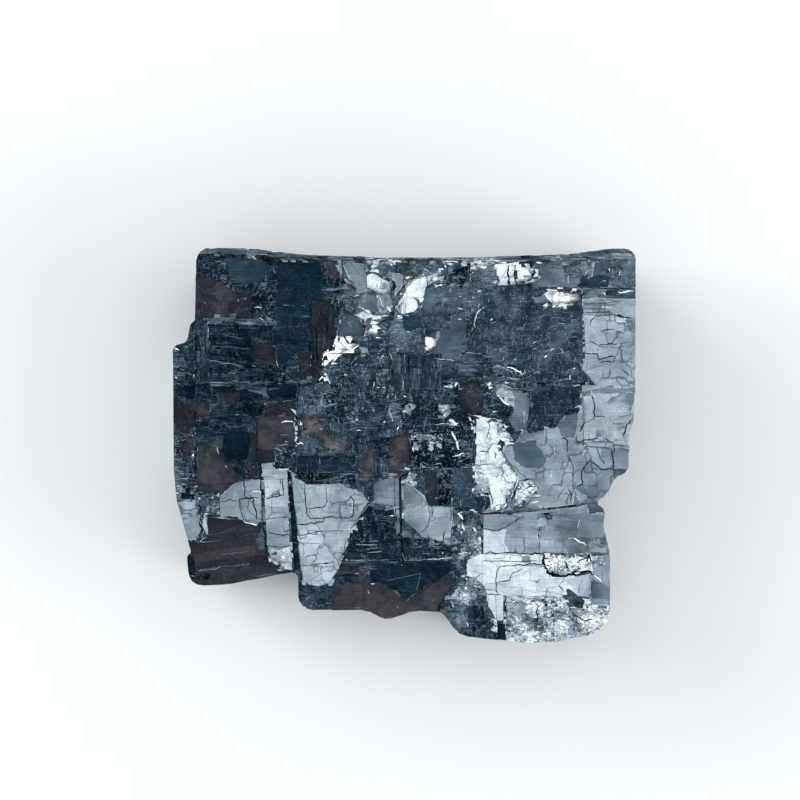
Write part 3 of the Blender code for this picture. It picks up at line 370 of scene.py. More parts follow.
    (2.3, "whole", 0.08, [(-13.3, -20.9), (-11.6, -19), (-11.4, -19.9), (-12.6, -21.4)]),
    # The bright wedge at the lower left, in long splinters.
    (4.2, "blocky", 0, [(-14.6, -3.5), (-14.1, -4.2), (-12.9, -4.7), (-12.6, -5), (-8, -5.1),
     (-6.5, -5.7), (-5.4, -6.1), (-4.6, -7.3), (-5.6, -8.8), (-6.2, -10.2), (-7.1, -11), (-7.4, -12.5),
     (-7.4, -13.8), (-8.3, -14.7), (-8.4, -16), (-9.1, -16.9), (-10, -18), (-11.2, -18.3),
     (-12.3, -18.1), (-13.1, -17.7), (-13.4, -15.5), (-13.8, -11), (-14.3, -7)]),
    (4.3, "blocky", 0.03, [(-12.4, -8.1), (-10.4, -7.9), (-10, -6.9), (-8.2, -5.6), (-6.8, -6.6),
     (-6.7, -8.8), (-7.3, -9.3), (-12.2, -9.4)]),
    (4.05, "blocky", 0, [(-18.6, -2.3), (-17, -2.2), (-17, -3), (-15.2, -3.2), (-15.1, -7), (-14.9, -12),
     (-14.5, -16.2), (-16.2, -16.2), (-17.2, -15.4), (-17.6, -14), (-18, -10.5), (-18.2, -4.7)]),
    (4.9, "rubbly", 0.03, [(-17.4, -13.4), (-14.9, -13.2), (-14.6, -16.2), (-16.1, -16.1),
     (-17.1, -15.3)]),
    (3.85, "blocky", 0, [(-24.1, -6.5), (-22, -4.8), (-20.9, -4.5), (-18.8, -4.3), (-18.7, -9.9),
     (-21, -9.4), (-24, -9.1)]),
    (3.75, "blocky", 0.05, [(-21.5, -6.9), (-18.8, -6.8), (-18.5, -10.2), (-20.8, -9.7)]),
    (4.05, "blocky", 0, [(-29.6, -7.3), (-27.3, -7.3), (-26.7, -9.4), (-26.3, -10.8), (-27.2, -12.3),
     (-29.4, -12)]),
    (4.75, "blocky", 0, [(-26.4, -8.8), (-25.9, -9), (-25.5, -10.5), (-25.6, -11.8), (-26.5, -10)]),
    (3.15, "crushed", 0, [(-30.5, -5), (-27, -5), (-26.6, -6.1), (-24.1, -6), (-24, -9), (-25.9, -9),
     (-27.2, -7.2), (-30.5, -7.2)]),
    (0.6, "pitted", 0.05, [(-29.2, -5.6), (-27.4, -5.5), (-27.3, -7), (-28.9, -7.2)]),
    # The brown foot under the wedge.
    (-0.6, "bedded", 0, [(-25.6, -9.3), (-23.5, -9.3), (-21, -9.8), (-18.6, -10.5), (-18, -13.5),
     (-17.6, -15.2), (-16.4, -16.3), (-14.3, -16.4), (-14.3, -18), (-24, -19), (-29, -18.6),
     (-28.6, -13), (-27, -12.7), (-25.5, -11.7)]),
    (2.2, "pitted", 0.05, [(-19.6, -11.4), (-18.5, -10.8), (-18, -13.6), (-18.9, -13.6)]),
    (0.45, "whole", 0, [(-28.8, -14.2), (-27.6, -14.3), (-27.2, -15.8), (-27.4, -17.3),
     (-28.8, -17.4)]),
    (0.0, "laminar", 0.05, [(-28.2, -16.6), (-25.2, -16.7), (-25.6, -17.5), (-28.2, -17.6)]),
    # The lower right: bright plates over crumbled ones.
    (3.75, "blocky", 0, [(10.3, -8.9), (18, -8.5), (25, -7.6), (31, -7.8), (31, -14.1), (10.3, -14.1)]),
    (3.75, "blocky", 0.05, [(10.3, -9.1), (15.6, -8.8), (14.8, -9.7), (12.8, -11), (10.3, -10.8)]),
    (4.6, "blocky", 0.03, [(10.3, -10.9), (12.2, -11.2), (13.4, -10.9), (13, -12.6), (14, -14),
     (10.3, -14)]),
    (3.5, "blocky", 0, [(17.5, -10.6), (18.4, -10.5), (18.8, -9), (31, -8.9), (31, -14.1), (21.4, -14),
     (20.6, -12.6), (17.9, -12.2)]),
    (0.0, "rubbly", 0.05, [(16.9, -8.8), (19.6, -8.6), (19.2, -9.6), (17.7, -9.3)]),
    (3.75, "pitted", 0.05, [(23.9, -12.2), (31, -11.7), (31, -14), (24.3, -13.9)]),
    (5.3, "blocky", 0, [(8.3, -15), (10, -14.1), (18.1, -14.1), (18.3, -15.6), (19.3, -17.3),
     (24.4, -16.5), (24.4, -20.8), (13, -19.5), (10.9, -19.3), (10.1, -18), (8.1, -17)]),
    (5.4, "whole", 0.05, [(12.2, -15.8), (14.4, -15.5), (14.9, -16.2), (13.8, -17.6), (12.1, -17.9)]),
    (4.8, "blocky", 0.04, [(20.6, -17.4), (22.4, -17.2), (24.3, -16.7), (24.3, -19.8), (22.2, -19.6),
     (21.9, -18.4)]),
    (5.9, "crushed", 0, [(18.3, -14), (24.3, -14.1), (24.6, -16.2), (21.9, -16.5), (20.8, -17),
     (19.3, -16.9), (18.6, -15.8)]),
    (3.65, "blocky", 0, [(24.4, -14), (31, -13.9), (31, -21.2), (24.3, -20.9)]),
    (5.2, "crushed", 0.04, [(24.4, -14.1), (26.2, -14), (26.3, -15.6), (24.9, -15.8)]),
    (3.25, "whole", 0.05, [(24.6, -17.4), (27.5, -18.6), (27.5, -20.2), (24.5, -20)]),
    (5, "crushed", 0, [(13.4, -19.7), (19, -19.6), (24.2, -20.8), (28, -21), (28, -27), (13.4, -27)]),
    (2.35, "pitted", 0.06, [(20.6, -19.4), (21.4, -18.6), (22.3, -19.2), (23.6, -20.2), (23.4, -21.2),
     (21.6, -21.2)]),
    (0.05, "pitted", 0.06, [(18.3, -20.3), (19.2, -20.2), (19.3, -20.9), (18.4, -21)]),
    (4.3, "rubbly", 0.05, [(13.3, -19.8), (15.1, -19.8), (15.6, -20.8), (16, -22.1), (15.1, -23.1),
     (13.4, -23.4)]),
    (4.45, "pitted", 0.04, [(14.4, -20.8), (15.5, -20.9), (16.1, -22.1), (15.3, -22.6), (14.3, -21.8)]),
    (3.35, "rubbly", 0.03, [(15.6, -22), (16.6, -22.4), (18.3, -23.7), (18.7, -24.8), (17.4, -24.6),
     (16, -23.5), (15.2, -22.9)]),
    (3.4, "whole", 0.05, [(23.9, -7.5), (25.6, -7.3), (25.9, -8.5), (24.2, -8.7)]),
    (5.55, "blocky", 0, [(11.2, -19.5), (13, -19.5), (12.9, -22.9), (12.2, -22.8), (11, -21)]),
    (2.65, "pitted", 0, [(5, -21.4), (7.6, -20.3), (10.8, -19.4), (11, -21), (12.2, -23), (12.2, -26),
     (4, -26)]),
    (0.9, "fibrous", 0.05, [(8.1, -20.8), (10.5, -20.8), (10.6, -23.4), (8.3, -23.5)]),
    (7.0, "crushed", 0, [(11.4, -22.6), (12.1, -22.5), (12.2, -24.4), (11.3, -24.2)]),
    (1.6, "pitted", 0, [(4, -23.6), (7.6, -24.2), (11, -25), (11, -26), (4, -26)]),
    (3.45, "crushed", 0, [(6.4, -18.6), (8.1, -17), (10.1, -18.1), (10.8, -19.5), (8.4, -20.5),
     (6, -21.3)]),
    (1.2, "whole", 0, [(12.2, -23.2), (13.3, -23.4), (13.4, -27), (12.2, -27)]),
    (3.15, "crushed", 0, [(6.5, -8.1), (10.1, -8.8), (10.1, -14.1), (8.3, -14.9), (6.4, -14.7)]),
    (-1.3, "pitted", 0.04, [(6.2, -12.9), (7.4, -12.8), (7.3, -13.9), (6.2, -13.8)]),
    # Crumbled seams in the dark middle.
    (3.65, "crushed", 0, [(4.5, 5.4), (5.9, 5.3), (6.2, 4.4), (5.6, 3.8), (4.9, 3.6), (4.4, 4.4)]),
    (4.45, "crushed", 0, [(5.6, 3.7), (6.4, 3.5), (7, 2.6), (6.6, 2.2), (5.8, 2.6)]),
    (4.3, "crushed", 0, [(0, 5.7), (0.8, 5.5), (1.1, 4.6), (0.8, 3.9), (0.2, 4.4)]),
    (4.4, "crushed", 0, [(1, 1.7), (2.6, 1.5), (5.2, 1.6), (5, 1), (3.9, 0.6), (3.8, -0.6), (3, 0.3),
     (2.4, 0.5), (2, -0.2), (1.3, 0.6)]),
    (2.15, "pitted", 0, [(-3.4, 5.6), (-0.5, 6), (-0.3, 3.4), (-0.9, 1.7), (-1.8, 2.2), (-2.6, 4)]),
    # The worn arris along the far edge.
    (3.55, "laminar", 0, [(-28, 25.1), (-18.5, 24.9), (-15.6, 24.3), (-8, 24.15), (31, 24.15), (31, 27),
     (-28, 27)]),
    (4.4, "rubbly", 0, [(-8, 24.7), (-4, 24.3), (12, 24.3), (12, 24.9), (-4, 25), (-8, 25.4)]),
]
print("areas on the broad face:", len(AREAS))

# %% [markdown]
# ## Cracks and catching edges
#
# Cleavage cracks are narrow slots. Painted on they would look flat, so they are cut: each is a
# line on the face with a width and a depth. Thin lips and loose flakes stand at a slant and catch
# the light. Here they are narrow strips cut a little into the face, with a painted highlight: a
# bright shade of their own.

# %% Cracks
# Width, depth, then x and y of each corner of the line, all in mm.
CRACKS = [
    (0.11, 1, -13, -5, -12.8, -7.5, -12.6, -9, -12.2, -9.5, -10.5, -9.4),
    (0.08, 0.8, -12.5, -8.2, -10.4, -7.9, -10, -7.3, -10.2, -5.1),
    (0.13, 1, -14, -10.3, -10.5, -9.9, -10.4, -9.3, -7.2, -9.4, -6.7, -9.1, -6.5, -7.2, -7.1, -6.4),
    (0.08, 0.7, -13.9, -11.7, -11, -11.1, -8, -11),
    (0.07, 0.6, -13.4, -15.7, -11.2, -15.4, -9, -15.1),
    (0.07, 0.6, -10.3, -16.3, -9.4, -16.3, -9, -15.8),
    (0.14, 1, -15.8, -4.3, -15.7, -6.4, -16.5, -6.6, -18, -6.8),
    (0.07, 0.6, -16.1, -4.3, -16.1, -6.3), (0.07, 0.6, -18, -9.6, -16.4, -9.4, -15, -9.2),
    (0.1, 0.7, -17.9, -11.2, -16.6, -11.6, -14.9, -11.6),
    (0.07, 0.6, -17.9, -13, -16, -13.2, -15, -13),
    (0.11, 0.9, -20.9, -4.4, -20.7, -6.7, -18.9, -6.8),
    (0.15, 0.8, -21.4, -6.9, -19.8, -6.8, -19.4, -8.2, -19.2, -9.6),
    (0.08, 0.6, -24, -7.4, -22.8, -7, -21.6, -7.2),
    (0.14, 0.8, -27.2, -7.6, -26.5, -8.2, -26.6, -10, -26.2, -11),
    (0.11, 0.8, -27.2, -12.4, -26.4, -10.9, -26.2, -9),
    (0.07, 0.8, -1.2, -4.4, -1.2, -7.9, -0.9, -9.6),
    (0.08, 0.8, 3.2, -8, 3.4, -9, 3.2, -10.4, 2.2, -11.4), (0.1, 0.8, 6.1, -8, 6.2, -9.8),
    (0.08, 0.8, 3.8, -8, 3.7, -9.2), (0.1, 0.8, 5.2, -11.2, 5.1, -12.9),
    (0.1, 1, 29.9, 16.6, 28.6, 16.7, 27.2, 17.1, 25, 17, 24.4, 16.4, 24.3, 15.8),
    (0.1, 0.8, 24.2, 13.6, 25.1, 13.2, 27.8, 13.3),
    (0.13, 1.2, 23.4, 12.1, 25.2, 12, 25.4, 11.2, 26.6, 11.6, 27.5, 11.6),
    (0.1, 1, 27.5, 11.6, 27.9, 12.4, 28.3, 13.4, 29, 13.5),
    (0.1, 0.8, 25.6, 10.9, 27.4, 11, 27.6, 11.6), (0.1, 0.8, 28.3, 10.1, 29.4, 9.1),
    (0.07, 0.6, 23.4, 18.5, 26, 18.6, 28.4, 18.9), (0.07, 0.6, 23.4, 17.9, 26.4, 17.9),
    (0.07, 0.6, 23.4, 17.4, 26.8, 17.4), (0.08, 0.8, 25.6, 15, 27, 15.2, 28.4, 14.8),
    (0.13, 0.9, 22.9, 1.8, 23.6, 3.2, 23.6, 5, 23.2, 7),
    (0.11, 0.9, 24, 3.2, 24.8, 3.6, 24.8, 5.6, 24.4, 6.6), (0.08, 0.8, 24.8, 3.8, 26.2, 3.8),
    (0.07, 0.7, 27.2, 2.9, 28.4, 2.9), (0.12, 1, 28.6, 1.2, 29, 2.8, 29.8, 3.4),
    (0.11, 0.9, 22.4, 1.6, 22.6, 0.4, 23.6, 0.8, 25.4, 1), (0.1, 0.8, 26, 1, 27.2, 0.4, 27.4, -1),
    (0.14, 1, 27, -0.4, 27.2, -1.6, 27.4, -3), (0.08, 0.8, 25.2, -0.2, 25.6, -1.6, 26.2, -2.4),
    (0.15, 1, 20.4, 0.9, 21.3, 0.7, 21.3, -0.8), (0.08, 0.8, 21.5, -1.4, 22, -2.6, 22, -5.4),
    (0.14, 1, 22.3, -5.4, 23.3, -5, 23.1, -3.4, 24.2, -1.9, 25.8, -3.1, 27.4, -3),
    (0.13, 0.9, 21.4, -5.6, 21.8, -6.2, 21.8, -7.6), (0.08, 0.8, 20, -6.8, 20.9, -5.6),
    (0.24, 1.2, 15, -4.6, 16, -4.4, 16.7, -4.4), (0.26, 1.2, 15, -4.8, 14.4, -6, 14.1, -7.2),
    (0.17, 1.2, 13.2, -6.6, 13.5, -7.8, 13.1, -8.3), (0.17, 1, 9.9, -0.7, 10.9, -0.8, 11.4, -0.2),
    (0.2, 1, 11.8, -0.8, 11.9, -1.8), (0.08, 0.8, 9, -2.6, 10.6, -2.4, 11.8, -2.4),
    (0.11, 0.8, 10.8, 1, 11.2, 2.6, 10.8, 3.2),
    (0.08, 0.8, 10.4, -10.8, 12.3, -11.1, 14.6, -9.8, 15.6, -9.1),
    (0.11, 1, 17.7, -13.6, 17.6, -11.2, 17.9, -10.7, 18.4, -10.5),
    (0.11, 1, 18.6, -10.2, 18.9, -12, 19.2, -13.2),
    (0.17, 1.2, 10.4, -14, 13, -14, 15.6, -14.1, 18.2, -14),
    (0.07, 0.8, 10.3, -15, 14, -15.1, 17.2, -15),
    (0.11, 1, 12.2, -19.4, 12, -17.9, 12.2, -16.2, 12.7, -15.7, 16, -15.5, 18.2, -15.4),
    (0.11, 1, 12.1, -17.9, 13.8, -17.6, 14.2, -16.6, 15.4, -16.1),
    (0.32, 1.6, 18.1, -14, 18.4, -15.6, 19, -16.7, 20.3, -17, 21.8, -16.8, 24, -16.4, 24.9, -16.8),
    (0.2, 1, 20.9, -15.2, 21.6, -16.2), (0.18, 1, 22.6, -15.2, 24.2, -14.6, 24.9, -15.6),
    (0.17, 1, 20.2, -18.2, 20.8, -19), (0.1, 0.8, 10.9, -19.4, 12.8, -19.5),
    (0.14, 1, 8, -14.4, 8.2, -16.6, 8, -18.2), (0.18, 1.2, 17.4, -20.6, 17.5, -22.6),
    (0.14, 1, 22, -21.8, 23.4, -22.8, 25.2, -22.6), (0.2, 1.2, 13.7, 23.6, 13.6, 22.2, 13.7, 21),
    (0.17, 1.2, 14.5, 23.2, 14.4, 22, 14.8, 21.1), (0.18, 1, 16.2, 23, 16.8, 22.3, 17.2, 22.6),
    (0.11, 1, -1.7, 22, -1.2, 20.8, -1.4, 19.6), (0.14, 1, 1.2, 19.3, 1.9, 19, 2.1, 18),
    (0.08, 0.9, -4.6, 15.8, -3.6, 15.8, -3, 15.4), (0.14, 1, -8.4, 12.6, -7.6, 12.6, -6.9, 12.3),
    (0.07, 0.7, -27.2, 16.2, -27.1, 10, -27.2, 3, -27.3, -4),
    (0.07, 0.7, -10, 12, -4, 12.1, 2, 12.1, 3.2, 12), (0.07, 0.7, 1, -3, 5, -2.8, 9, -2.9),
    (0.08, 0.8, -2.6, -3.9, -0.4, -4, 1, -3.3), (0.07, 0.7, 6.5, 10.9, 8.2, 11, 9.9, 10.9),
    (0.1, 0.9, 4.2, -3.1, 4.3, -7.8), (0.08, 0.9, 6.3, -3, 6.4, -7.8),
]

# %% Slanted lips and flakes
# Shade of the painted highlight, width, then x and y of each corner of the line.
LIPS = [
    (6.5, 0.19, -25.7, 17.2, -25, 17.2, -24.3, 17.1),
    (5, 0.14, -23.2, 19.5, -22.9, 19, -22.9, 18.1), (4.6, 0.14, -21.6, 19.1, -21.5, 18.8),
    (5.8, 0.12, -19.4, 18, -18.5, 17.9), (5.8, 0.12, -18.8, 16.7, -18, 16.3),
    (4.2, 0.12, -17.6, 18.7, -16.9, 18.7), (6, 0.16, -19.6, 24.7, -19.2, 24.2),
    (4.6, 0.09, -24.4, 24.1, -23.7, 24.1), (4.8, 0.12, -26.1, 18.8, -25.8, 18.5),
    (4, 0.31, -22.1, 16.3, -21.3, 16.1), (4.4, 0.12, -16.5, 10.9, -16.3, 10.2),
    (4, 0.09, -17.8, 10, -17.2, 10), (3.8, 0.08, -25.5, 11.2, -23.6, 10.9, -21, 10.4),
    (3.6, 0.08, -24, 10.8, -22.4, 10.7, -20.8, 10.1),
    (3.4, 0.08, -24.9, 13, -22.4, 12.9, -20.2, 12.6),
    (3.4, 0.08, -23.8, 14.6, -22.4, 14.2, -20.6, 14), (6.6, 0.31, -30, 12.8, -29.4, 12.5),
    (5.4, 0.15, -29.9, 9, -29.6, 8.8), (3.6, 0.09, -28.6, 9.5, -27.4, 9.3),
    (6.2, 0.11, -29, -4.3, -28.2, -4.3), (6.4, 0.16, -16, 3, -15, 3.2, -14.4, 3.1),
    (4.6, 0.1, -16.2, 1.5, -15, 1.3), (5, 0.15, -15.5, 0.6, -15.1, 0.5),
    (4.2, 0.08, -16.6, 0.1, -15, 0.2), (6.8, 0.19, -14.1, 0.4, -13.1, 0.2),
    (6.2, 0.15, -14.2, 0.9, -14, 0.8), (5.6, 0.19, -13.9, -0.5, -13.4, -0.2),
    (3.4, 0.1, -18.2, 5.8, -16.6, 5.8, -14.4, 5.9), (4, 0.1, -22, 4.1, -21.4, 4),
    (4.2, 0.19, -26.2, -1, -25.8, -1.3), (4, 0.21, -24.4, -0.1, -24.1, -1),
    (4.4, 0.16, -23.3, -2.6, -23, -2.8), (6.2, 0.14, -11, 2.2, -10.6, 2.2),
    (6.8, 0.19, -6.2, 2, -5.6, 2), (6.4, 0.15, -6.3, 3.4, -5.9, 3.4),
    (5.8, 0.12, -10.5, 6.8, -10, 6.8), (6, 0.16, -9.8, 5.9, -9.5, 5.7),
    (6, 0.21, -7.8, 9.2, -7.5, 9.3), (6.2, 0.15, -3.5, 7.6, -3.2, 7.6),
    (6.2, 0.14, -2.8, 7.6, -2.4, 7.6), (6.6, 0.21, -0.1, 6.5, 0.3, 6.4),
    (5.4, 0.12, -1.6, 6.8, -1.4, 6.7), (5.4, 0.15, -3.5, 12.1, -3.2, 12.1),
    (4.4, 0.1, -9, 8.9, -8.4, 8.9), (4.6, 0.12, -1.9, 12.4, -1.6, 11.2),
    (5.2, 0.17, -9.1, 19.9, -9.3, 18.5), (4, 0.14, -8.5, 19.2, -8.5, 18.4),
    (5.6, 0.15, -6.6, 19.5, -5.8, 19.7), (5.2, 0.14, -3.2, 19.4, -2.8, 18.3, -2.6, 18.1),
    (6.4, 0.31, -2.2, 18.2, -1.7, 17.5), (4.8, 0.1, -1.6, 20.2, -1.3, 19.5),
    (6.8, 0.21, -5.4, 14.4, -4.8, 14.4), (6.2, 0.15, -2.9, 23.2, -2.5, 23.2),
    (5.4, 0.12, 2.4, 23.2, 3.4, 22.4), (6, 0.19, -1.8, 23.7, -1.5, 23.5),
    (6.2, 0.27, -4.9, 24.4, -3.9, 24.4), (5.8, 0.25, -3.6, 24, -2.4, 23.8),
    (5.8, 0.19, 5.1, 24, 6.2, 24.1, 7, 24), (5.6, 0.16, 5.3, 23.6, 5.5, 23.2),
    (5.2, 0.31, 4.5, 20.9, 5, 21), (5.4, 0.12, 7.2, 19.4, 7.5, 19.5),
    (5.4, 0.15, 8.8, 22.7, 9.1, 22.5), (4.6, 0.12, 8.6, 22, 8.8, 21.4),
    (4.8, 0.1, 9.7, 23.6, 10.5, 22.9, 10.9, 22.5), (5.2, 0.19, 9.5, 20, 10.1, 20.2),
    (5.6, 0.12, 8.9, 19.4, 9.1, 19.2), (4.4, 0.08, 8, 18.7, 9.4, 18.9),
    (5.6, 0.14, 7, 16.5, 7.5, 16.5), (5.4, 0.25, 7, 18, 7.7, 17.8),
    (5, 0.16, 10.4, 18.2, 9.6, 17.4, 9.2, 16.2, 9.3, 15.4),
    (5, 0.08, 4, 11.4, 5.2, 11.3, 6.6, 11.1), (4.6, 0.08, 8, 12.1, 9.6, 12.1),
    (3.8, 0.08, 8, 10.4, 9.9, 10.6), (3.8, 0.09, 7, 9.8, 9.4, 10),
    (5.4, 0.14, 0.4, 14.9, 0.7, 14.8), (4.2, 0.12, 1.6, 15, 2, 15.6),
    (6.4, 0.15, 11.2, 16.3, 11.5, 16.6), (4.6, 0.08, 10.3, 14.1, 11.6, 14),
    (5.4, 0.12, 16.7, 13.3, 17.2, 13.6), (5.2, 0.11, 16.8, 12.5, 17.2, 12.8),
    (5.8, 0.19, 18.3, 11.5, 18.6, 11.8), (6, 0.15, 18.2, 18, 18.6, 17.9),
    (5.4, 0.12, 15.3, 19.3, 15.6, 19.1), (5, 0.1, 17.4, 16.7, 18.6, 17),
    (4.4, 0.09, 20, 16, 21, 15.9), (4.4, 0.1, 21.6, 15.8, 22, 15.7),
    (4.8, 0.11, 21, 14.7, 21, 14.4), (4.4, 0.16, 19, 12.3, 19.6, 12.7),
    (4.8, 0.09, 20.2, 12.8, 20.8, 12.1), (6.6, 0.2, 13.4, 10.2, 14.2, 10.1, 14.8, 9.7, 15.3, 9.3),
    (4.8, 0.09, 15.2, 9.3, 15.8, 9.5, 15.7, 10.1), (6.2, 0.16, 21.6, 9.3, 21.6, 8.6),
    (6.4, 0.16, 22, 10.1, 22.3, 10.1), (5.2, 0.16, 21.9, 8, 23, 7.9),
    (5.4, 0.19, 23.6, 8.3, 23.9, 8), (4.6, 0.12, 13.4, 8.8, 15.2, 8.6),
    (6, 0.14, 21.4, 22.2, 21.4, 21.2), (5.6, 0.15, 20.6, 23.7, 20.8, 24),
    (6.2, 0.22, 17.2, 23.9, 18, 23.8), (5.6, 0.15, 26.7, 23.2, 26.8, 22.7),
    (5.2, 0.14, 24, 24.3, 24.2, 24), (4, 0.1, 25.6, 21.3, 26.3, 21.5),
    (6.2, 0.17, 27.8, 20.1, 29, 20.1, 29.8, 20.2), (5.8, 0.14, 25.8, 20, 26.2, 19.5),
    (6, 0.16, 28.6, 16.6, 29, 16.5), (6.4, 0.31, 5.8, 3.6, 6.4, 3.2, 7, 2.9),
    (6, 0.27, 6.2, 1.9, 6.6, 1, 7, 0, 7.1, -0.5), (5.4, 0.16, 6.3, -1.4, 7.2, -1.2, 7.9, -1),
    (5.8, 0.15, 1.2, 0, 1.3, -0.8), (6.2, 0.14, 3.4, 1.2, 4, 0.4), (6.2, 0.15, 4.6, 1.1, 5.4, 0.7),
    (5.6, 0.15, -0.6, 2.6, -0.9, 2), (5, 0.1, 4, 2.8, 5, 2.9, 6.4, 2.8),
    (5.6, 0.17, 4.1, -6.7, 4.4, -6.8), (3.8, 0.08, 1, -2.9, 3.6, -2.8, 6, -2.9, 8.4, -2.8),
    (4.4, 0.21, 3.6, -2.9, 3.8, -3), (4.2, 0.09, 4, -2.4, 4.9, -2.2),
    (3.8, 0.08, -8.5, -3.7, -6.4, -3.6), (3.8, 0.08, -2.7, -3.6, -0.8, -3.6),
    (4.6, 0.12, -4.6, -6.6, -4.6, -7), (5, 0.19, -4.2, -7.5, -3.7, -7.2),
    (5.8, 0.19, -1.8, -9.1, -1.3, -9.1), (6.4, 0.19, -7.6, -14.9, -7.3, -14.9),
    (4.6, 0.08, -6.3, -12.9, -4.8, -12.9, -3.4, -12.9),
    (4, 0.08, -5.8, -12.5, -3.4, -12.4, -2, -12.1), (4.2, 0.08, -5, -13.4, -3.2, -13.3),
    (4.4, 0.08, -4.8, -13.9, -2.8, -13.8),
    (4.4, 0.08, -7.2, -14.9, -3, -14.9, 1.6, -14.9, 5.2, -14.6, 8.4, -14.1),
    (5.4, 0.1, 3, -14.8, 5.2, -14.7, 6.4, -14.5), (5.6, 0.14, 4.4, -14.4, 5.2, -13.8),
    (5, 0.11, 3.9, -12.8, 4.8, -12.7), (6.2, 0.12, 7.2, -14.2, 8.4, -13.9),
    (3.8, 0.08, -5.9, -15.9, -3.5, -16), (3.6, 0.08, -2, -15.2, -0.4, -15),
    (4.6, 0.09, -0.2, -13.9, 0, -15, 0.2, -15.8), (6, 0.15, -4.3, -18, -3.8, -18),
    (4.2, 0.15, -4.7, -18.8, -4.5, -19.4), (4, 0.16, -1, -20.8, -0.7, -21.2),
    (4.2, 0.11, 0.4, -21.7, 0.8, -21.6), (4.2, 0.12, 3.7, -20.2, 4.1, -20),
    (3.8, 0.09, -6.6, -21.1, -5.6, -21.1), (3.6, 0.08, -13, -20.3, -11.7, -19.2),
    (3.4, 0.08, -26.8, -16.2, -24.4, -15.8, -21.6, -15.6, -19.8, -15.3),
    (4, 0.08, -26.9, -16.3, -24.6, -16.1, -23.8, -15.6),
    (3.4, 0.08, -25.7, -11.6, -24, -11.4, -22.2, -11),
    (3.4, 0.09, -26.8, -12.6, -24.6, -12.4, -23.8, -12.2),
    (3.2, 0.08, -24, -14.2, -21.4, -13.9, -20.2, -13.8), (4.6, 0.12, -22.6, -14.2, -22.2, -14.2),
    (4, 0.1, -21.3, -13.9, -20.8, -13.8), (3.2, 0.08, -19.4, -17, -17, -16.8),
    (5.6, 0.16, -24.4, -9.3, -23.4, -9.5), (6.2, 0.15, -21, -9.7, -20.2, -10.1, -19, -10.3),
    (4.4, 0.1, -28, -17, -27.2, -17.2), (6.6, 0.37, -16, -14.4, -15.5, -14.6),
    (6.4, 0.19, 22.1, -12, 23, -12.6, 23.8, -13),
    (6.4, 0.19, 24.5, -16.6, 25.2, -17.2, 25.9, -17.8), (6.8, 0.25, 12.6, 1, 13, 0.6),
    (6.8, 0.15, 14.2, 0.3, 14.4, 0), (5.2, 0.12, 15.2, 2.2, 15.5, 1.9),
    (5.4, 0.15, 16, -1, 16.2, -1.3), (6.2, 0.1, 16.4, -6.6, 17.4, -6.5),
    (6.2, 0.12, 16.6, -7.4, 17.6, -7.3), (6.6, 0.31, 7, -8.8, 7.7, -9.6),
    (6.4, 0.31, 8.6, -8.4, 9.6, -8.6), (6.2, 0.37, 7.6, -10.2, 7.9, -10.9),
    (5.8, 0.31, 9, -10.6, 9.6, -11.2), (5.4, 0.19, 8.8, -12.2, 9.6, -13),
    (5.6, 0.19, 6.3, -20.6, 6.5, -21.1), (5.4, 0.25, 8.2, -23, 8.4, -23.6),
    (5.4, 0.19, 9, -18.2, 10.2, -18.6), (6.4, 0.26, 11.9, 7.2, 12.5, 6.3, 13.1, 5.7, 13.9, 5.3),
    (3.6, 0.3, -1.9, 5.2, -1.8, 4.2, -1.5, 3.2),
]
print("cracks:", len(CRACKS), " lips:", len(LIPS))

# %% [markdown]
# ## Ragged edges
#
# Close up, a break in galena runs in small jogs. Drawing each by hand would take thousands of
# points, so corners are added along each outline and pushed a little to one side. A crack becomes
# a strip whose width wavers and which draws to a point at its ends.


# %% Ragged outlines and strips
def roughen(line, pitch, stray, dice, closed=True):
    """A line with extra corners between its own, each a little astray, as broken edges run."""
    rough = []
    for (x1, y1), (x2, y2) in zip(line, line[1:] + line[:1] if closed else line[1:]):
        run = Vector((x2 - x1, y2 - y1))
        steps = max(1, round(run.length / pitch))
        side = Vector((-run.y, run.x)).normalized()
        for index in range(steps):
            spot = Vector((x1, y1)) + run * (index / steps)
            spot += side * (dice.gauss(0, stray) if index else 0)
            rough.append((spot.x, spot.y))
    return rough if closed else rough + [line[-1]]


FINE, FINE_PITCH, MOST_STRAY = 0.3, 0.4, 0.08  # strips under the first have the second as pitch


def ribbon(line, width, dice):
    """A ragged strip of some width along a line, drawn to a point at its ends."""
    pitch = FINE_PITCH if width < FINE else width
    line = roughen(line, pitch, min(MOST_STRAY, width / 2), dice, closed=False)
    if len(line) == 2:
        line.insert(1, ((line[0][0] + line[1][0]) / 2, (line[0][1] + line[1][1]) / 2))
    left, right = [], []
    for index, (x, y) in enumerate(line):
        back = line[max(index - 1, 0)]
        ahead = line[min(index + 1, len(line) - 1)]
        run = Vector((ahead[0] - back[0], ahead[1] - back[1])).normalized()
        reach = width / 2 if 0 < index < len(line) - 1 else width / 8
        for side, edge in ((1, left), (-1, right)):
            half = side * reach * dice.uniform(0.35, 1.2)
            edge.append((x - run.y * half, y + run.x * half))
    return left + right[::-1]


def strip(value, width, run, dice):
    """A row's value, its line as corners, and the ragged strip along it."""
    line = list(zip(run[::2], run[1::2]))
    return value, line, ribbon(line, width, dice)


AREA_PITCH, AREA_STRAY = 0.6, 0.07
edge_dice = random.Random(SEED)
AREAS = [
    (shade, grain, drop, roughen(outline, AREA_PITCH, AREA_STRAY, edge_dice) if drop else outline)
    for shade, grain, drop, outline in AREAS
]
SLOTS = [strip(depth, width, run, edge_dice) for width, depth, *run in CRACKS]
RIBBONS = [strip(shade, width, run, edge_dice) for shade, width, *run in LIPS]
print("corners of the first crack's strip:", len(SLOTS[0][2]))

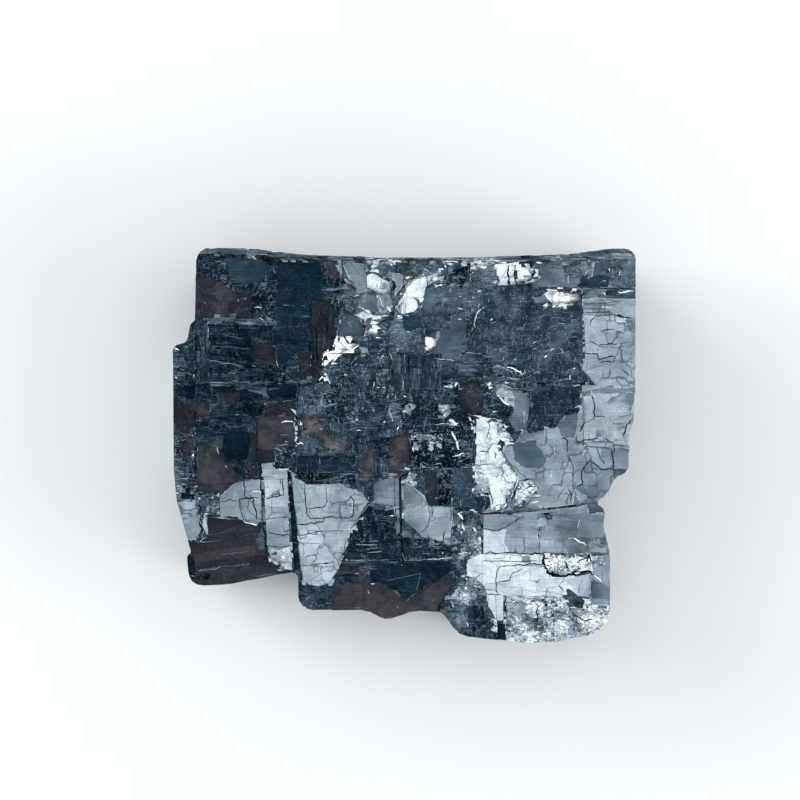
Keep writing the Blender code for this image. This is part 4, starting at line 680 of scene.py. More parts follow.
# %% [markdown]
# ## Cutting the fine terraces and cracks
#
# Each area with an edge, each crack and each lip is cut with a prism that follows the plane of the
# terrace it lies on. Moving faces down would leave their walls to be filled one by one. All prisms
# are taken from the block in one exact Boolean difference instead, which keeps it one closed
# solid. Prisms with level tops would confuse that cut, so no two are the same height.


# %% Prism cutters
def surface_at(x, y):
    """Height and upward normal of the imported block's broad face at a place."""
    place, normal, _, _ = above.ray_cast(Vector((x, y, TOP + 5)), Vector((0, 0, -1)))
    if place is None:
        return TOP, Vector((0, 0, 1))
    return place.z, normal


def middle(outline):
    """The mean of an outline's corners."""
    return [sum(side) / len(outline) for side in zip(*outline)]


def prism(outline, floor, ceiling):
    """A cutter over an outline, from a floor plane up to a ceiling above the block."""
    shape = bmesh.new()
    base = shape.faces.new([shape.verts.new((x, y, floor(x, y))) for x, y in outline])
    lifted = bmesh.ops.extrude_face_region(shape, geom=[base])["geom"]
    for item in lifted:
        if isinstance(item, bmesh.types.BMVert):
            item.co.z = ceiling
    bmesh.ops.recalc_face_normals(shape, faces=shape.faces)
    mesh = bpy.data.meshes.new("cutter")
    shape.to_mesh(mesh)
    shape.free()
    return bpy.data.objects.new("cutter", mesh)


TERRACE_LEAN = 0.008  # rise over run, about half a degree
LIP_DEPTH = 0.05
CEILING, CEILING_STEP = TOP + 2, 0.011


def cutters(dice):
    """One prism for each area with an edge, each crack and each lip."""
    ceilings = (CEILING + index * CEILING_STEP for index in itertools.count())
    for _, _, drop, outline in AREAS:
        if drop:
            x0, y0 = middle(outline)
            height, normal = surface_at(x0, y0)
            lean = Vector((dice.gauss(0, TERRACE_LEAN), dice.gauss(0, TERRACE_LEAN)))
            yield prism(
                outline,
                lambda x, y: height - drop
                - (normal.x * (x - x0) + normal.y * (y - y0)) / normal.z
                + lean.x * (x - x0) + lean.y * (y - y0),
                next(ceilings),
            )
    strips = SLOTS + [(LIP_DEPTH, line, outline) for _, line, outline in RIBBONS]
    for depth, line, outline in strips:
        floor = min(surface_at(x, y)[0] for x, y in line) - depth
        yield prism(outline, lambda x, y: floor, next(ceilings))


# %% One cut for all of them
def split_off(shape, dice):
    """The block less every cutter, as a mesh."""
    mesh = bpy.data.meshes.new("block")
    shape.to_mesh(mesh)
    block = bpy.data.objects.new("block", mesh)
    bpy.context.scene.collection.objects.link(block)
    group = bpy.data.collections.new("cutters")
    for cutter in cutters(dice):
        group.objects.link(cutter)
    cut = block.modifiers.new("cut", "BOOLEAN")
    cut.operation, cut.solver, cut.operand_type = "DIFFERENCE", "EXACT", "COLLECTION"
    cut.collection = group
    view = bpy.context.evaluated_depsgraph_get()
    result = bpy.data.meshes.new_from_object(block.evaluated_get(view))
    for helper in [*group.objects, block]:
        bpy.data.objects.remove(helper)
    bpy.data.collections.remove(group)
    return result


block = planes_of(in_order(split_off(packed, edge_dice)))
open_edges = [edge for edge in block.edges if len(edge.link_faces) != 2]
print("planes after cutting:", len(block.faces), " open edges:", len(open_edges))
print("volume cut away, cubic mm:", round(packed.calc_volume() - block.calc_volume(), 2))

# %% [markdown]
# ## How finely each grain splits
#
# How finely galena splits depends on how hard it was struck. Whole plates and blocky ground split
# into pieces of several millimetres, bedded and laminar ground into level strips, fibrous ground
# into upright ones. Pitted, rubbly and crushed ground is bruised, and its pieces are small and
# lie askew. One row of numbers for each kind keeps all of that in one place.


# %% Grains
# Cell size in mm, turn and its stray in degrees, step in mm, lean in degrees, odds of a painted
# glint, spread of shade, and how much of the ground is broken fine.
Grain = namedtuple("Grain", "width height turn stray step lean flash spread broken")
GRAINS = {
    "whole": Grain(60, 60, 0, 0, 0.0, 0.2, 0, 0.06, 0.1),
    "blocky": Grain(4.6, 3.8, 1, 5, 0.02, 0.6, 0, 0.1, 0.3),
    "bedded": Grain(9.0, 1.7, 6, 2, 0.02, 0.7, 0, 0.16, 0.2),
    "laminar": Grain(2.4, 0.34, -2, 3, 0.04, 2.5, 0.02, 0.46, 0.3),
    "fibrous": Grain(0.34, 2.2, 0, 3, 0.04, 2.5, 0.02, 0.44, 0.4),
    "fine": Grain(0.8, 0.6, 4, 16, 0.012, 1.5, 0, 0.2, 0.45),
    "pitted": Grain(0.85, 0.7, 3, 14, 0.02, 2.5, 0.01, 0.24, 0.7),
    "rubbly": Grain(0.85, 0.6, 8, 18, 0.07, 6, 0.04, 0.34, 1),
    "crushed": Grain(0.55, 0.4, 12, 26, 0.1, 9, 0.03, 0.66, 1),
}
COARSER = 2.25  # on the sides and the back, to stay within what one part may hold
# Patches of the sides and the back take one of these shades and grains.
HABITS = [
    (5.0, "blocky"), (2.5, "pitted"), (4.2, "bedded"), (2.9, "laminar"), (3.8, "blocky"),
    (-0.8, "pitted"), (4.6, "rubbly"), (2.2, "blocky"), (3.4, "bedded"), (5.2, "crushed"),
]
for name, grain in GRAINS.items():
    print(name, "cells of", grain.width, "by", grain.height, "mm")

# %% [markdown]
# ## Marking the areas on the planes
#
# On the real block a film or a polished patch ends along a line of its own, and not at the nearest
# ledge. A painted mask could show that, but the grain has to change there too. So each area's
# outline is scored into every plane that it crosses.


# %% Splitting one face
SLIVER = 0.012  # a corner nearer to a cut than this lies on it, in mm
MOST_BENDS = 9


def split_face(face, place, across, jog, pitch, dice):
    """Cut one face along a jagged line and return its pieces; neighbours only gain corners."""
    side = {corner: (corner.co - place).dot(across) for corner in face.verts}
    if max(side.values()) < SLIVER or min(side.values()) > -SLIVER:
        return [face]
    marks = [corner for corner in face.verts if abs(side[corner]) < SLIVER]
    for loop in list(face.loops):
        here, there = loop.vert, loop.link_loop_next.vert
        near = min(abs(side[here]), abs(side[there]))
        if near >= SLIVER and side[here] * side[there] < 0:
            share = side[here] / (side[here] - side[there])
            marks.append(bmesh.utils.edge_split(loop.edge, here, share)[1])
    along = across.cross(face.normal)
    marks.sort(key=lambda corner: corner.co.dot(along))
    pieces = [face]
    for start, end in zip(marks, marks[1:]):
        span = end.co - start.co
        if any(edge.other_vert(start) == end for edge in start.link_edges) or span.length < 1e-4:
            continue
        bends = min(MOST_BENDS, int(span.length / pitch))
        jogs = [
            start.co + span * ((index + 1) / (bends + 1)) + across * dice.uniform(-jog, jog)
            for index in range(bends)
        ]
        for piece in pieces:
            corners = piece.verts[:]
            if start in corners and end in corners:
                if not bmesh.geometry.intersect_face_point(piece, start.co + span / 2):
                    continue
                made, _ = bmesh.utils.face_split(piece, start, end, coords=jogs)
                if made:
                    made.normal_update()
                    pieces.append(made)
                break
    return pieces


# %% Outlines seen from above
def holds(outline, box, place):
    """True if a place lies inside an outline; only one within its box is looked at closely."""
    x, y, (west, south, east, north) = place.x, place.y, box
    inside = False
    if west <= x <= east and south <= y <= north:
        for (x1, y1), (x2, y2) in zip(outline, outline[1:] + outline[:1]):
            if (y1 > y) != (y2 > y) and x < (x2 - x1) * (y - y1) / (y2 - y1) + x1:
                inside = not inside
    return inside


def reach(points):
    """The box around some points: west, south, east and north."""
    xs, ys = zip(*points)
    return min(xs), min(ys), max(xs), max(ys)


def apart(a, b):
    """True if two boxes don't meet."""
    return a[0] > b[2] or b[0] > a[2] or a[1] > b[3] or b[1] > a[3]


FIELDS = [(shade, grain, outline, reach(outline)) for shade, grain, _, outline in AREAS[::-1]]
print("reach of the topmost area, mm:", [round(side, 1) for side in FIELDS[0][3]])

# %% Scoring the outlines
TRIES = (0.02, 0.12, 0.25, 0.38, 0.5, 0.62, 0.75, 0.88, 0.98)  # shares of a line's length
SCORE_JOG, SCORE_PITCH = 0.09, 0.65
UPWARD = 0.5  # a face whose normal rises more than this looks up


def enters(face, start, end):
    """True if a line seen from above runs through a face."""
    for share in TRIES:
        spot = start.lerp(end, share)
        rise = (spot - face.verts[0].co).dot(face.normal) / face.normal.z
        if bmesh.geometry.intersect_face_point(face, spot - Vector((0, 0, rise))):
            return True
    return False


def score(shape, outlines, dice):
    """Cut the outlines into the faces that look up; their long sides come out ragged."""
    boxes = {}
    for face in shape.faces:
        if face.normal.z > UPWARD and face.calc_center_median().z > BROAD:
            boxes[face] = reach([corner.co.xy for corner in face.verts])
    for outline in outlines:
        field = reach(outline)
        nearby = [face for face, box in boxes.items() if not apart(box, field)]
        for (x1, y1), (x2, y2) in zip(outline, outline[1:] + outline[:1]):
            start, end = Vector((x1, y1, TOP)), Vector((x2, y2, TOP))
            line = reach([(x1, y1), (x2, y2)])
            across = Vector((0, 0, 1)).cross(end - start).normalized()
            for face in list(nearby):
                if apart(boxes[face], line) or not enters(face, start, end):
                    continue
                for piece in split_face(face, start, across, SCORE_JOG, SCORE_PITCH, dice):
                    boxes[piece] = reach([corner.co.xy for corner in piece.verts])
                    if piece is not face:
                        nearby.append(piece)


score(block, [outline for _, _, outline, _ in FIELDS], edge_dice)
print("faces after scoring the outlines:", len(block.faces))

# %% [markdown]
# ## The mineral in each face
#
# Each face takes the shade and grain of its area. Cracks are painted nearly black and the walls of
# slots and steps painted dark, as painted shade where little light gets in; lips get a painted
# highlight. The sides have no outlines. There, the faces nearest to one of many scattered points
# share a habit, as beds and seams do in the real mineral.


# %% The look of a face
# Painted shade: the look of cracks, nearly black, and of the walls of slots and steps, dark.
PAINTED_CRACK_SHADE = (0.2, "whole")
PAINTED_WALL_SHADE = (1.3, "pitted")
BETWEEN_AREAS = (2.0, "pitted")
BESIDE = 0.4  # how far outside a wall the ground below it is looked for, in mm
DEEPEST_FLOOR = TOP - 14


def padded(box, margin=0.06):
    """A box a little larger all round, in mm."""
    return box[0] - margin, box[1] - margin, box[2] + margin, box[3] + margin


NARROW = [
    (shade, outline, padded(reach(outline)))
    for shade, _, outline in [(PAINTED_CRACK_SHADE[0], *slot[1:]) for slot in SLOTS] + RIBBONS[::-1]
]


def seen_from_above(face):
    """True for the faces of the broad side that look up."""
    return face.normal.z > UPWARD and face.verts[0].co.z > BROAD


def area_at(place):
    """Shade and grain of the area at a place seen from above, cracks and lips left out."""
    for shade, grain, outline, box in FIELDS:
        if holds(outline, box, place):
            return shade, grain
    return BETWEEN_AREAS


def narrow_at(face, place):
    """Shade and grain of a face's crack (painted black) or lip (painted highlight), or nothing."""
    west, south, east, north = reach([corner.co.xy for corner in face.verts])
    for shade, outline, box in NARROW:
        if box[0] <= west and east <= box[2] and box[1] <= south and north <= box[3]:
            if holds(outline, box, place):
                return shade, "whole"
    return None


def is_inner_wall(place, normal):
    """True for the wall of a slot or a step: just outside it the block goes on below."""
    beside = place + normal * BESIDE + Vector((0, 0, BESIDE / 2))
    below = above.ray_cast(beside, Vector((0, 0, -1)))[0]
    return abs(normal.z) < UPWARD and below is not None and below.z > DEEPEST_FLOOR


print("look midway on the broad face:", area_at(Vector((0, 0, TOP))))

# %% Joining faces of one look
PATCH = Vector((9, 9, 7))  # mm between the points that the sides' habits gather around


def heart(face):
    """A point well inside a face: the middle of its largest triangle."""
    if len(face.verts) < 5:
        return face.calc_center_median()
    corners = [corner.co for corner in face.verts]
    best, size = None, -1
    for triple in tessellate_polygon([corners]):
        one, two, three = (corners[index] for index in triple)
        area = (two - one).cross(three - one).length
        if area > size:
            best, size = (one + two + three) / 3, area
    return best


def nature(face):
    """Shade and grain of the mineral in a face."""
    place = heart(face)
    if place.z > BROAD:
        look = narrow_at(face, place) or (area_at(place) if seen_from_above(face) else None)
        if look:
            return look
        if is_inner_wall(place, face.normal):
            return PAINTED_WALL_SHADE
    # Faces that look different ways are moved well apart first, so they seldom share a patch.
    spot = Vector((place.x / PATCH.x, place.y / PATCH.y, place.z / PATCH.z)) + face.normal * 3.7
    _, nearest = noise.voronoi(spot)
    return HABITS[int(noise.cell(nearest[0] * 31) * len(HABITS)) % len(HABITS)]


def join_within_areas(shape):
    """Level faces of one shade and grain become one face; material numbers keep others apart."""
    numbers = {}
    for face in shape.faces:
        face.material_index = numbers.setdefault(nature(face), len(numbers))
    bmesh.ops.dissolve_limit(
        shape, angle_limit=LEVEL, verts=shape.verts, edges=shape.edges, delimit={"MATERIAL"}
    )
    loose = [corner for corner in shape.verts if not corner.link_faces]
    bmesh.ops.delete(shape, geom=loose, context="VERTS")
    shape.normal_update()


join_within_areas(block)
print("faces once joined within their areas:", len(block.faces))

# %% [markdown]
# ## Splitting along the cleavage
#
# A hammered block is a patchwork of cleavage cells. A cell pattern in the shader would colour it
# but leave it flat, so the faces themselves are cut. Each plane is split again and again, square
# to its longer side, until its cells have the size of the grain in their area. A cut stops at its
# neighbours, as real cracks stop at older ones.


# %% Where a face splits next
LOW_WALL, WALL_CELL = 1.5, 6  # walls lower than the first, in mm, split into lengths of the second
OVERSIZE = (0.9, 1.7)  # a face this many times as long as its grain splits
SPLIT_AT = (0.34, 0.66)  # somewhere in this middle part of its length
WIDEST_JOG, JOG_SHARE, CUT_PITCH = 0.1, 0.12, 1.2


def axes_of(normal, turn):
    """Two directions in a face, its level one and the other, turned by some degrees."""
    level = Vector((1, 0, 0)) if abs(normal.z) > 0.7 else Vector((0, 0, 1)).cross(normal)
    level = (level - normal * level.dot(normal)).normalized()
    rise = normal.cross(level)
    angle = math.radians(turn)
    first = level * math.cos(angle) + rise * math.sin(angle)
    return first, normal.cross(first)


def is_low(face, limit):
    """True for a wall lower than a limit in mm."""
    heights = [corner.co.z for corner in face.verts]
    return abs(face.normal.z) < UPWARD and max(heights) - min(heights) < limit


def next_cut(face, grain, dice):
    """Where and which way a face splits next, or nothing once it is fine enough."""
    width, height, turn, stray = GRAINS[grain][:4]
    if not seen_from_above(face):
        width, height = width * COARSER, height * COARSER
    if is_low(face, LOW_WALL):
        width, height = WALL_CELL, WALL_CELL
    choices = []
    for direction, limit in zip(axes_of(face.normal, turn + dice.gauss(0, stray)), (width, height)):
        reaches = [corner.co.dot(direction) for corner in face.verts]
        choices.append(((max(reaches) - min(reaches)) / limit, min(reaches), limit, direction))
    ratio, low, limit, direction = max(choices, key=lambda choice: choice[0])
    if ratio < dice.uniform(*OVERSIZE):
        return None
    offset = low + ratio * limit * dice.uniform(*SPLIT_AT)
    return direction * offset, direction, min(WIDEST_JOG, JOG_SHARE * limit), CUT_PITCH


print("low walls to split into lengths:", sum(is_low(face, LOW_WALL) for face in block.faces))

# %% Cleaving
SAME_WAY = 0.999998  # cosine of the angle between faces of one plane
SMALLEST = 0.05  # square mm; smaller faces are left whole
LARGE = 6  # square mm; pieces of larger faces on the sides look for their own habit


def number_cells(shape, looks, cell):
    """Level neighbours of one look get one cell number."""
    seen = set()
    for number, first in enumerate(shape.faces):
        if first in seen:
            continue
        seen.add(first)
        waiting = [first]
        while waiting:
            face = waiting.pop()
            face[cell] = number
            for other in {other for edge in face.edges for other in edge.link_faces} - seen:
                if looks[other] == looks[face] and face.normal.dot(other.normal) > SAME_WAY:
                    seen.add(other)
                    waiting.append(other)


def cleave(shape, dice):
    """Split every face to its grain; layer cell numbers the pieces of the patchwork."""
    cell = shape.faces.layers.int.new("cell")
    looks = {face: nature(face) for face in shape.faces}
    number_cells(shape, looks, cell)
    fresh = len(shape.faces)
    waiting = list(shape.faces)
    while waiting:
        face = waiting.pop()
        size = face.calc_area()
        if size < SMALLEST:
            continue
        cut = next_cut(face, looks[face][1], dice)
        pieces = split_face(face, *cut, dice) if cut else [face]
        if len(pieces) > 1:
            on_side = size > LARGE and not seen_from_above(face)
            look = looks[face]
            for piece in pieces:
                piece[cell] = fresh
                looks[piece] = nature(piece) if on_side else look
                fresh += 1
            waiting.extend(pieces)
    return cell, looks


CELL, LOOKS = cleave(block, random.Random(SEED + 1))
print("cleavage faces:", len(block.faces))
print("by grain:", {name: sum(look[1] == name for look in LOOKS.values()) for name in GRAINS})

# %% [markdown]
# ## Opening the joints
#
# A joint between two cells is a hair-fine step, and its edge either glints or hides in shadow. A
# bevel would round it. Here each cell is drawn back a few hundredths of a millimetre from its
# joints, lowered by its own step and leaned by its own few degrees. A narrow strip closes every
# gap between two cells and a small patch closes the corner where three or more meet, so the block
# stays one closed skin.


# %% The lie of each cell
EDGE_LIFT = 0.06  # the most that a lean moves a cell's edge, in mm
WIDEST_GAP, GAP_SHARE = 0.034, 0.2  # a cell draws back by these mm, or by this share of its width


def lie_of_cells(shape, cell, looks, dice):
    """For each cell: middle, outward normal, step, lean and how far its edge draws back."""
    members = {}
    for face in shape.faces:
        members.setdefault(face[cell], []).append(face)
    lies = {}
    for number, faces in members.items():
        grain = GRAINS[looks[faces[0]][1]]
        area = sum(face.calc_area() for face in faces)
        rim = sum(face.calc_perimeter() for face in faces)
        heart_of_cell = sum((face.calc_center_median() for face in faces), Vector()) / len(faces)
        first, second = axes_of(faces[0].normal, 0)
        across = area / max(rim, 0.01)
        tilt = min(math.radians(grain.lean), EDGE_LIFT / max(across * 2, 0.1))
        slope = first * dice.gauss(0, tilt) + second * dice.gauss(0, tilt)
        gap = min(WIDEST_GAP, GAP_SHARE * across) * dice.uniform(0.4, 1.1)
        step = dice.random() * grain.step
        lies[number] = heart_of_cell, faces[0].normal.copy(), step, slope, gap
    return lies


LIES = lie_of_cells(block, CELL, LOOKS, random.Random(SEED + 2))
print("cells:", len(LIES))

# %% [markdown]
# ## Who meets at a corner
#
# To draw cells apart, each corner needs one new point for each cell that meets there. Walking
# around the corner finds them in turning order. The low walls of steps go with the cell beside
# them, or they would open at both sides.


# %% Around a corner
RISER = 0.35  # walls lower than this in mm are risers
STRAIGHT = -0.996  # cosine between the two sides at a corner that a face only passes


def follows(loop):
    """True if a face only passes a corner: its side runs straight on, or it is a riser."""
    if loop.face in RISERS:
        return True
    back = loop.link_loop_prev.vert.co - loop.vert.co
    ahead = loop.link_loop_next.vert.co - loop.vert.co
    return back.dot(ahead) < STRAIGHT * back.length * ahead.length


def turn_around(corner):
    """The loops at a corner in turning order, or nothing where the skin isn't simple."""
    loops = corner.link_loops[:]
    if not loops or any(len(edge.link_loops) != 2 for edge in corner.link_edges):
        return []
    order, loop = [loops[0]], loops[0].link_loop_prev.link_loop_radial_next
    while loop is not loops[0] and len(order) < len(loops):
        order.append(loop)
        loop = loop.link_loop_prev.link_loop_radial_next
    return order if len(order) == len(loops) else []


def runs_around(corner, cell):
    """The loops around a corner grouped by cell; loops that only pass join the run before."""
    order = turn_around(corner)
    if not order:
        return [[loop] for loop in corner.link_loops]
    leaders = [index for index, loop in enumerate(order) if not follows(loop)]
    first = leaders[0] if leaders else 0
    runs = []
    for loop in order[first:] + order[:first]:
        owner = loop.face[cell]
        if runs and (owner == runs[-1][0].face[cell] or (leaders and follows(loop))):
            runs[-1].append(loop)
        else:
            runs.append([loop])
    if len(runs) > 1 and runs[0][0].face[cell] == runs[-1][0].face[cell]:
        runs[0] = runs.pop() + runs[0]
    return runs


RISERS = {face for face in block.faces if is_low(face, RISER)}
print("risers:", len(RISERS))

# %% Building the opened skin
SHARPEST = 0.34  # keeps a drawn-back corner from running far into a thin splinter
LOWEST, HIGHEST = -0.16, 0.03  # how far in mm a lean may lower or lift a corner
IN_PLANE = 0.9  # cosine of how far a face may turn from its cell's plane and still be drawn back


def inward(loop, outgoing):
    """Direction in a face away from one of the two edges that meet at a loop's corner."""
    side = loop if outgoing else loop.link_loop_prev
    run = side.link_loop_next.vert.co - side.vert.co
    return loop.face.normal.cross(run).normalized()


def corner_spot(corner, run, alone, lie):
    """Where a cell's corner goes: drawn back from the joints, then stepped and leaned."""
    heart_of_cell, normal, step, slope, gap = lie
    spot = corner.co.copy()
    own = [loop for loop in run if loop.face.normal.dot(normal) > IN_PLANE]
    if not alone and own:
        one, two = inward(own[0], True), inward(own[-1], False)
        spot += (one + two) * (gap / max(1 + one.dot(two), SHARPEST))
    lift = max(LOWEST, min(HIGHEST, slope.dot(spot - heart_of_cell)))
    return spot + normal * (lift - step)


def ring_of(indices):
    """A face's corners without repeats."""
    return [here for here, before in zip(indices, indices[-1:] + indices[:-1]) if here != before]


def open_joints(shape, cell, lies):
    """Corner points of the opened skin, its faces, and the faces that each of them came from."""
    points, skin, owners, place_of = [], [], [], {}
    for corner in shape.verts:
        runs = runs_around(corner, cell)
        for run in runs:
            lead = next((loop for loop in run if not follows(loop)), run[0])
            place_of.update((loop, len(points)) for loop in run)
            points.append(corner_spot(corner, run, len(runs) == 1, lies[lead.face[cell]]))
        if len(runs) > 2:
            skin.append(list(range(len(points) - len(runs), len(points))))
            owners.append([run[0].face for run in runs])
    for face in shape.faces:
        skin.append(ring_of([place_of[loop] for loop in face.loops]))
        owners.append([face])
    for edge in shape.edges:
        if len(edge.link_loops) == 2:
            one, two = edge.link_loops
            ends = one.link_loop_next, one, two.link_loop_next, two
            ring = ring_of([place_of[loop] for loop in ends])
            if len(ring) > 2:
                skin.append(ring)
                owners.append([one.face, two.face])
    whole = [index for index, ring in enumerate(skin) if len(ring) > 2]
    return points, [skin[index] for index in whole], [owners[index] for index in whole]


points, skin, owners = open_joints(block, CELL, LIES)
print("points:", len(points), " faces:", len(skin))
print("triangles:", sum(len(face) - 2 for face in skin))

# %% [markdown]
# ## The shade of each cell
#
# Lead sulphide is a nearly neutral grey metal with a trace of blue. Freshly split it is pale and
# mirror-bright; a film of lead sulphate and carbonate takes it down through slate to blue-black,
# and iron hydroxide from the ore's own pyrite stains it brown. The shades carry these, and also
# painted reflection: how bright or dark a plate shows under the lamps is painted into its colour,
# up to near white. One texture over everything would blur from cell to cell. Each cell has the
# shade of its area instead, give or take a little, and a few small cells in the splintered
# grains get a painted glint, a much paler shade.


# %% Colours of the shades
# The shades stand partly for tarnish and films and partly for painted reflection: how bright or dark
# each plate shows under the lamps is painted in, up to near white.
SHADES = [
    (-2.0, "#6b696d"), (-1.4, "#4a484d"), (-1.0, "#3a383e"), (-0.6, "#2b2b32"), (-0.2, "#20222b"),
    (-0.01, "#1a1e28"), (0.0, "#040e17"), (1.0, "#0c202e"), (2.0, "#203340"), (3.0, "#4b5c69"),
    (4.0, "#7f8e98"), (5.0, "#b0bfc8"), (6.0, "#dde8ee"), (7.0, "#f6fafc"),
]


def linear(code):
    """Scene-linear colour of an sRGB hex code."""
    parts = [int(code[index: index + 2], 16) / 255 for index in (1, 3, 5)]
    return [
        part / 12.92 if part <= 0.04045 else ((part + 0.055) / 1.055) ** 2.4 for part in parts
    ]


STOPS = [(shade, linear(code)) for shade, code in SHADES]


def colour_of(shade):
    """Colour at a shade, mixed between the two nearest stops."""
    shade = max(STOPS[0][0], min(STOPS[-1][0], shade))
    for (low, first), (high, second) in zip(STOPS, STOPS[1:]):
        if shade <= high:
            share = (shade - low) / (high - low)
            return [a + (b - a) * share for a, b in zip(first, second)]
    return STOPS[-1][1]


print("linear colour of a fresh plane:", [round(part, 3) for part in colour_of(6.0)])

# %% Shades of the cells
SMALL = 0.5  # square mm; smaller cells take the shade of a place nearby, so that borders mingle
ASTRAY = 0.3  # how far off that place lies, in mm
PAINTED_GLINT_CELL = 0.14  # square mm; only cells smaller than this get a painted glint
TARNISH = [(3.2, 1.9), (1.4, 0.9)]  # strength and size in mm of the clouds that shade the cells
LEAST = 0.02  # keeps a film a film, on its own side of zero


def shades_of_cells(shape, cell, looks, dice):
    """A shade for each cell: its area's, or near an outline its neighbour's, with drift."""
    sizes = {}
    for face in shape.faces:
        sizes[face[cell]] = sizes.get(face[cell], 0) + face.calc_area()
    shades = {}
    for face in shape.faces:
        if face[cell] in shades:
            continue
        base, grain = looks[face]
        flash, spread = GRAINS[grain].flash, GRAINS[grain].spread
        place, size = face.calc_center_median(), sizes[face[cell]]
        if grain != "whole" and size < SMALL and seen_from_above(face):
            nearby = place + Vector((dice.gauss(0, ASTRAY), dice.gauss(0, ASTRAY), 0))
            base, _ = area_at(nearby)
        film = base < 0
        shade = abs(base) + dice.gauss(0, spread * (0.4 if film else 0.5))
        shade += spread * sum(strong * noise.noise(place / wide) for strong, wide in TARNISH)
        # A painted glint: now and then a small cell is painted 1.5 to 3.5 shades paler, as if it faced a
        # lamp.
        if dice.random() < flash and size < PAINTED_GLINT_CELL:
            film, shade = False, max(shade, 0) + dice.uniform(1.5, 3.5)
        shades[face[cell]] = -max(shade, LEAST) if film else max(shade, 0.05)
    return shades


cell_shades = shades_of_cells(block, CELL, LOOKS, random.Random(SEED + 3))
film_cells = sum(shade < 0 for shade in cell_shades.values())
print("cells under a brown film:", film_cells, "of", len(cell_shades))

# %% [markdown]
# ## Painted glints and shadow lines between cells
#
# The narrow strips between cells draw the cleavage pattern. They go against their neighbours, as
# on the real block, where pale lips catch the light on dark ground and dark lines hide in shadow
# on pale. Here both are painted into the colour: painted glints and painted shadow lines. Cracks
# stay dark.

# %% Shades of the skin
PALE = 4.2  # on ground at least this pale, a joint gets a painted shadow line as often as not
PAINTED_JOINT_SHADOW_DROP = (0.8, 3.3)
PAINTED_JOINT_GLINT_ODDS = {True: 0.55, False: 0.3}  # odds of a painted glint on darker ground, where the joint bends or doesn't
PAINTED_JOINT_GLINT_LIFT = (0.5, 2.6)
BEND = 0.95  # cosine of the angle between cells that meet at a bend


def painted_joint_glint_or_shadow(low, high, bend, dice):
    """Painted glint or shadow of a strip between cells, from their darkest, palest and bend."""
    chance = dice.random()
    if high >= PALE:
        return high - dice.uniform(*PAINTED_JOINT_SHADOW_DROP) if chance < 0.5 else high + 0.4
    if chance < PAINTED_JOINT_GLINT_ODDS[bend]:
        return max(high, 0.3) + dice.uniform(*PAINTED_JOINT_GLINT_LIFT)
    return low - 0.4 if low > 0.8 else low


def skin_shades(owners, cell, shades, dice):
    """A shade for each face of the skin. Risers and strips go against what they part, as painted
    glints and painted shadow lines.
    """
    result = []
    for faces in owners:
        if len(faces) == 1 and faces[0] in RISERS:
            faces = [other for edge in faces[0].edges for other in edge.link_faces]
        level = [face for face in faces if face not in RISERS] or faces
        around = [shades[face[cell]] for face in level]
        if len(faces) == 1 or any(LOOKS[face] == PAINTED_CRACK_SHADE for face in faces):
            result.append(min(around))
        else:
            bend = any(face.normal.dot(faces[0].normal) < BEND for face in faces)
            result.append(painted_joint_glint_or_shadow(min(around), max(around), bend, dice))
    return result


face_shades = skin_shades(owners, CELL, cell_shades, random.Random(SEED + 4))
print("shades, first few:", [round(shade, 2) for shade in face_shades[:5]])

# %% [markdown]
# ## How broken the ground is, and how deep a film lies
#
# The finishes need one more number at each corner, which goes into the alpha channel of the colour
# attribute. On bare metal it says how finely the ground is broken, so that only rough ground shows
# splinters. In a brown film it says how far from the rim the corner lies, because a film that
# water left thins out toward its rim.

# %% Breakage and depth
FILM_RIM = 0.6  # mm over which a film grows to its full depth
FAR = 9.0  # mm; farther than any film is deep
FILMS = [(outline, box) for shade, _, outline, box in FIELDS if shade < 0]


def rim_distance(x, y, outline):
    """Distance from a point to an outline, in mm."""
    spot, best = Vector((x, y)), FAR
    for one, two in zip(outline, outline[1:] + outline[:1]):
        start, run = Vector(one), Vector(two) - Vector(one)
        share = max(0, min(1, (spot - start).dot(run) / max(run.length_squared, 1e-9)))
        best = min(best, (spot - start - run * share).length)
    return best


def depth_in_film(point):
    """How far a point lies within a brown film, from 0 at its rim to 1 some way in."""
    depth = 0.0
    for outline, box in FILMS:
        if holds(outline, box, point):
            depth = max(depth, rim_distance(point.x, point.y, outline))
    return min(1.0, depth / FILM_RIM)


def breakages(owners, skin, points, shades):
    """For each corner of each face how broken its ground is, or how deep it lies in a film."""
    for faces, ring, shade in zip(owners, skin, shades):
        broken = GRAINS[LOOKS[faces[0]][1]].broken
        on_top = seen_from_above(faces[0])
        for index in ring:
            yield depth_in_film(points[index]) if shade < 0 and on_top else broken


corner_breaks = list(breakages(owners, skin, points, face_shades))
print("films drawn on the broad face:", len(FILMS), " corners:", len(corner_breaks))

# %% [markdown]
# ## Patterns in the metal
#
# What is finer than the cells is shading: clouds of tarnish, growth striae, splinters, hair cracks
# and the torn edges of laminae. Image textures would repeat. Noise and cell textures don't, and
# each is scaled from the size of the real thing.


# %% Adding nodes
def add(tree, kind, settings=(), links=()):
    """Add a node, set its inputs or properties, and link other nodes' outputs into it."""
    made = tree.nodes.new("ShaderNode" + kind)
    for key, value in dict(settings).items():
        if isinstance(key, int) or key in made.inputs:
            made.inputs[key].default_value = value
        else:
            setattr(made, key, value)
    for key, source in dict(links).items():
        output = source.outputs[0] if isinstance(source, bpy.types.Node) else source
        tree.links.new(output, made.inputs[key])
    return made


def per_mm(size):
    """Texture scale in the piece's own metres for a pattern of some size in mm."""
    return 1000 / size


def between(low, high, first, last):
    """Settings of a node that maps one range to another."""
    return {"From Min": low, "From Max": high, "To Min": first, "To Max": last}


TIMES = ("Math", {"operation": "MULTIPLY"})
LARGER = ("Math", {"operation": "MAXIMUM"})
print("texture scale of a pattern 0.2 mm wide:", per_mm(0.2))


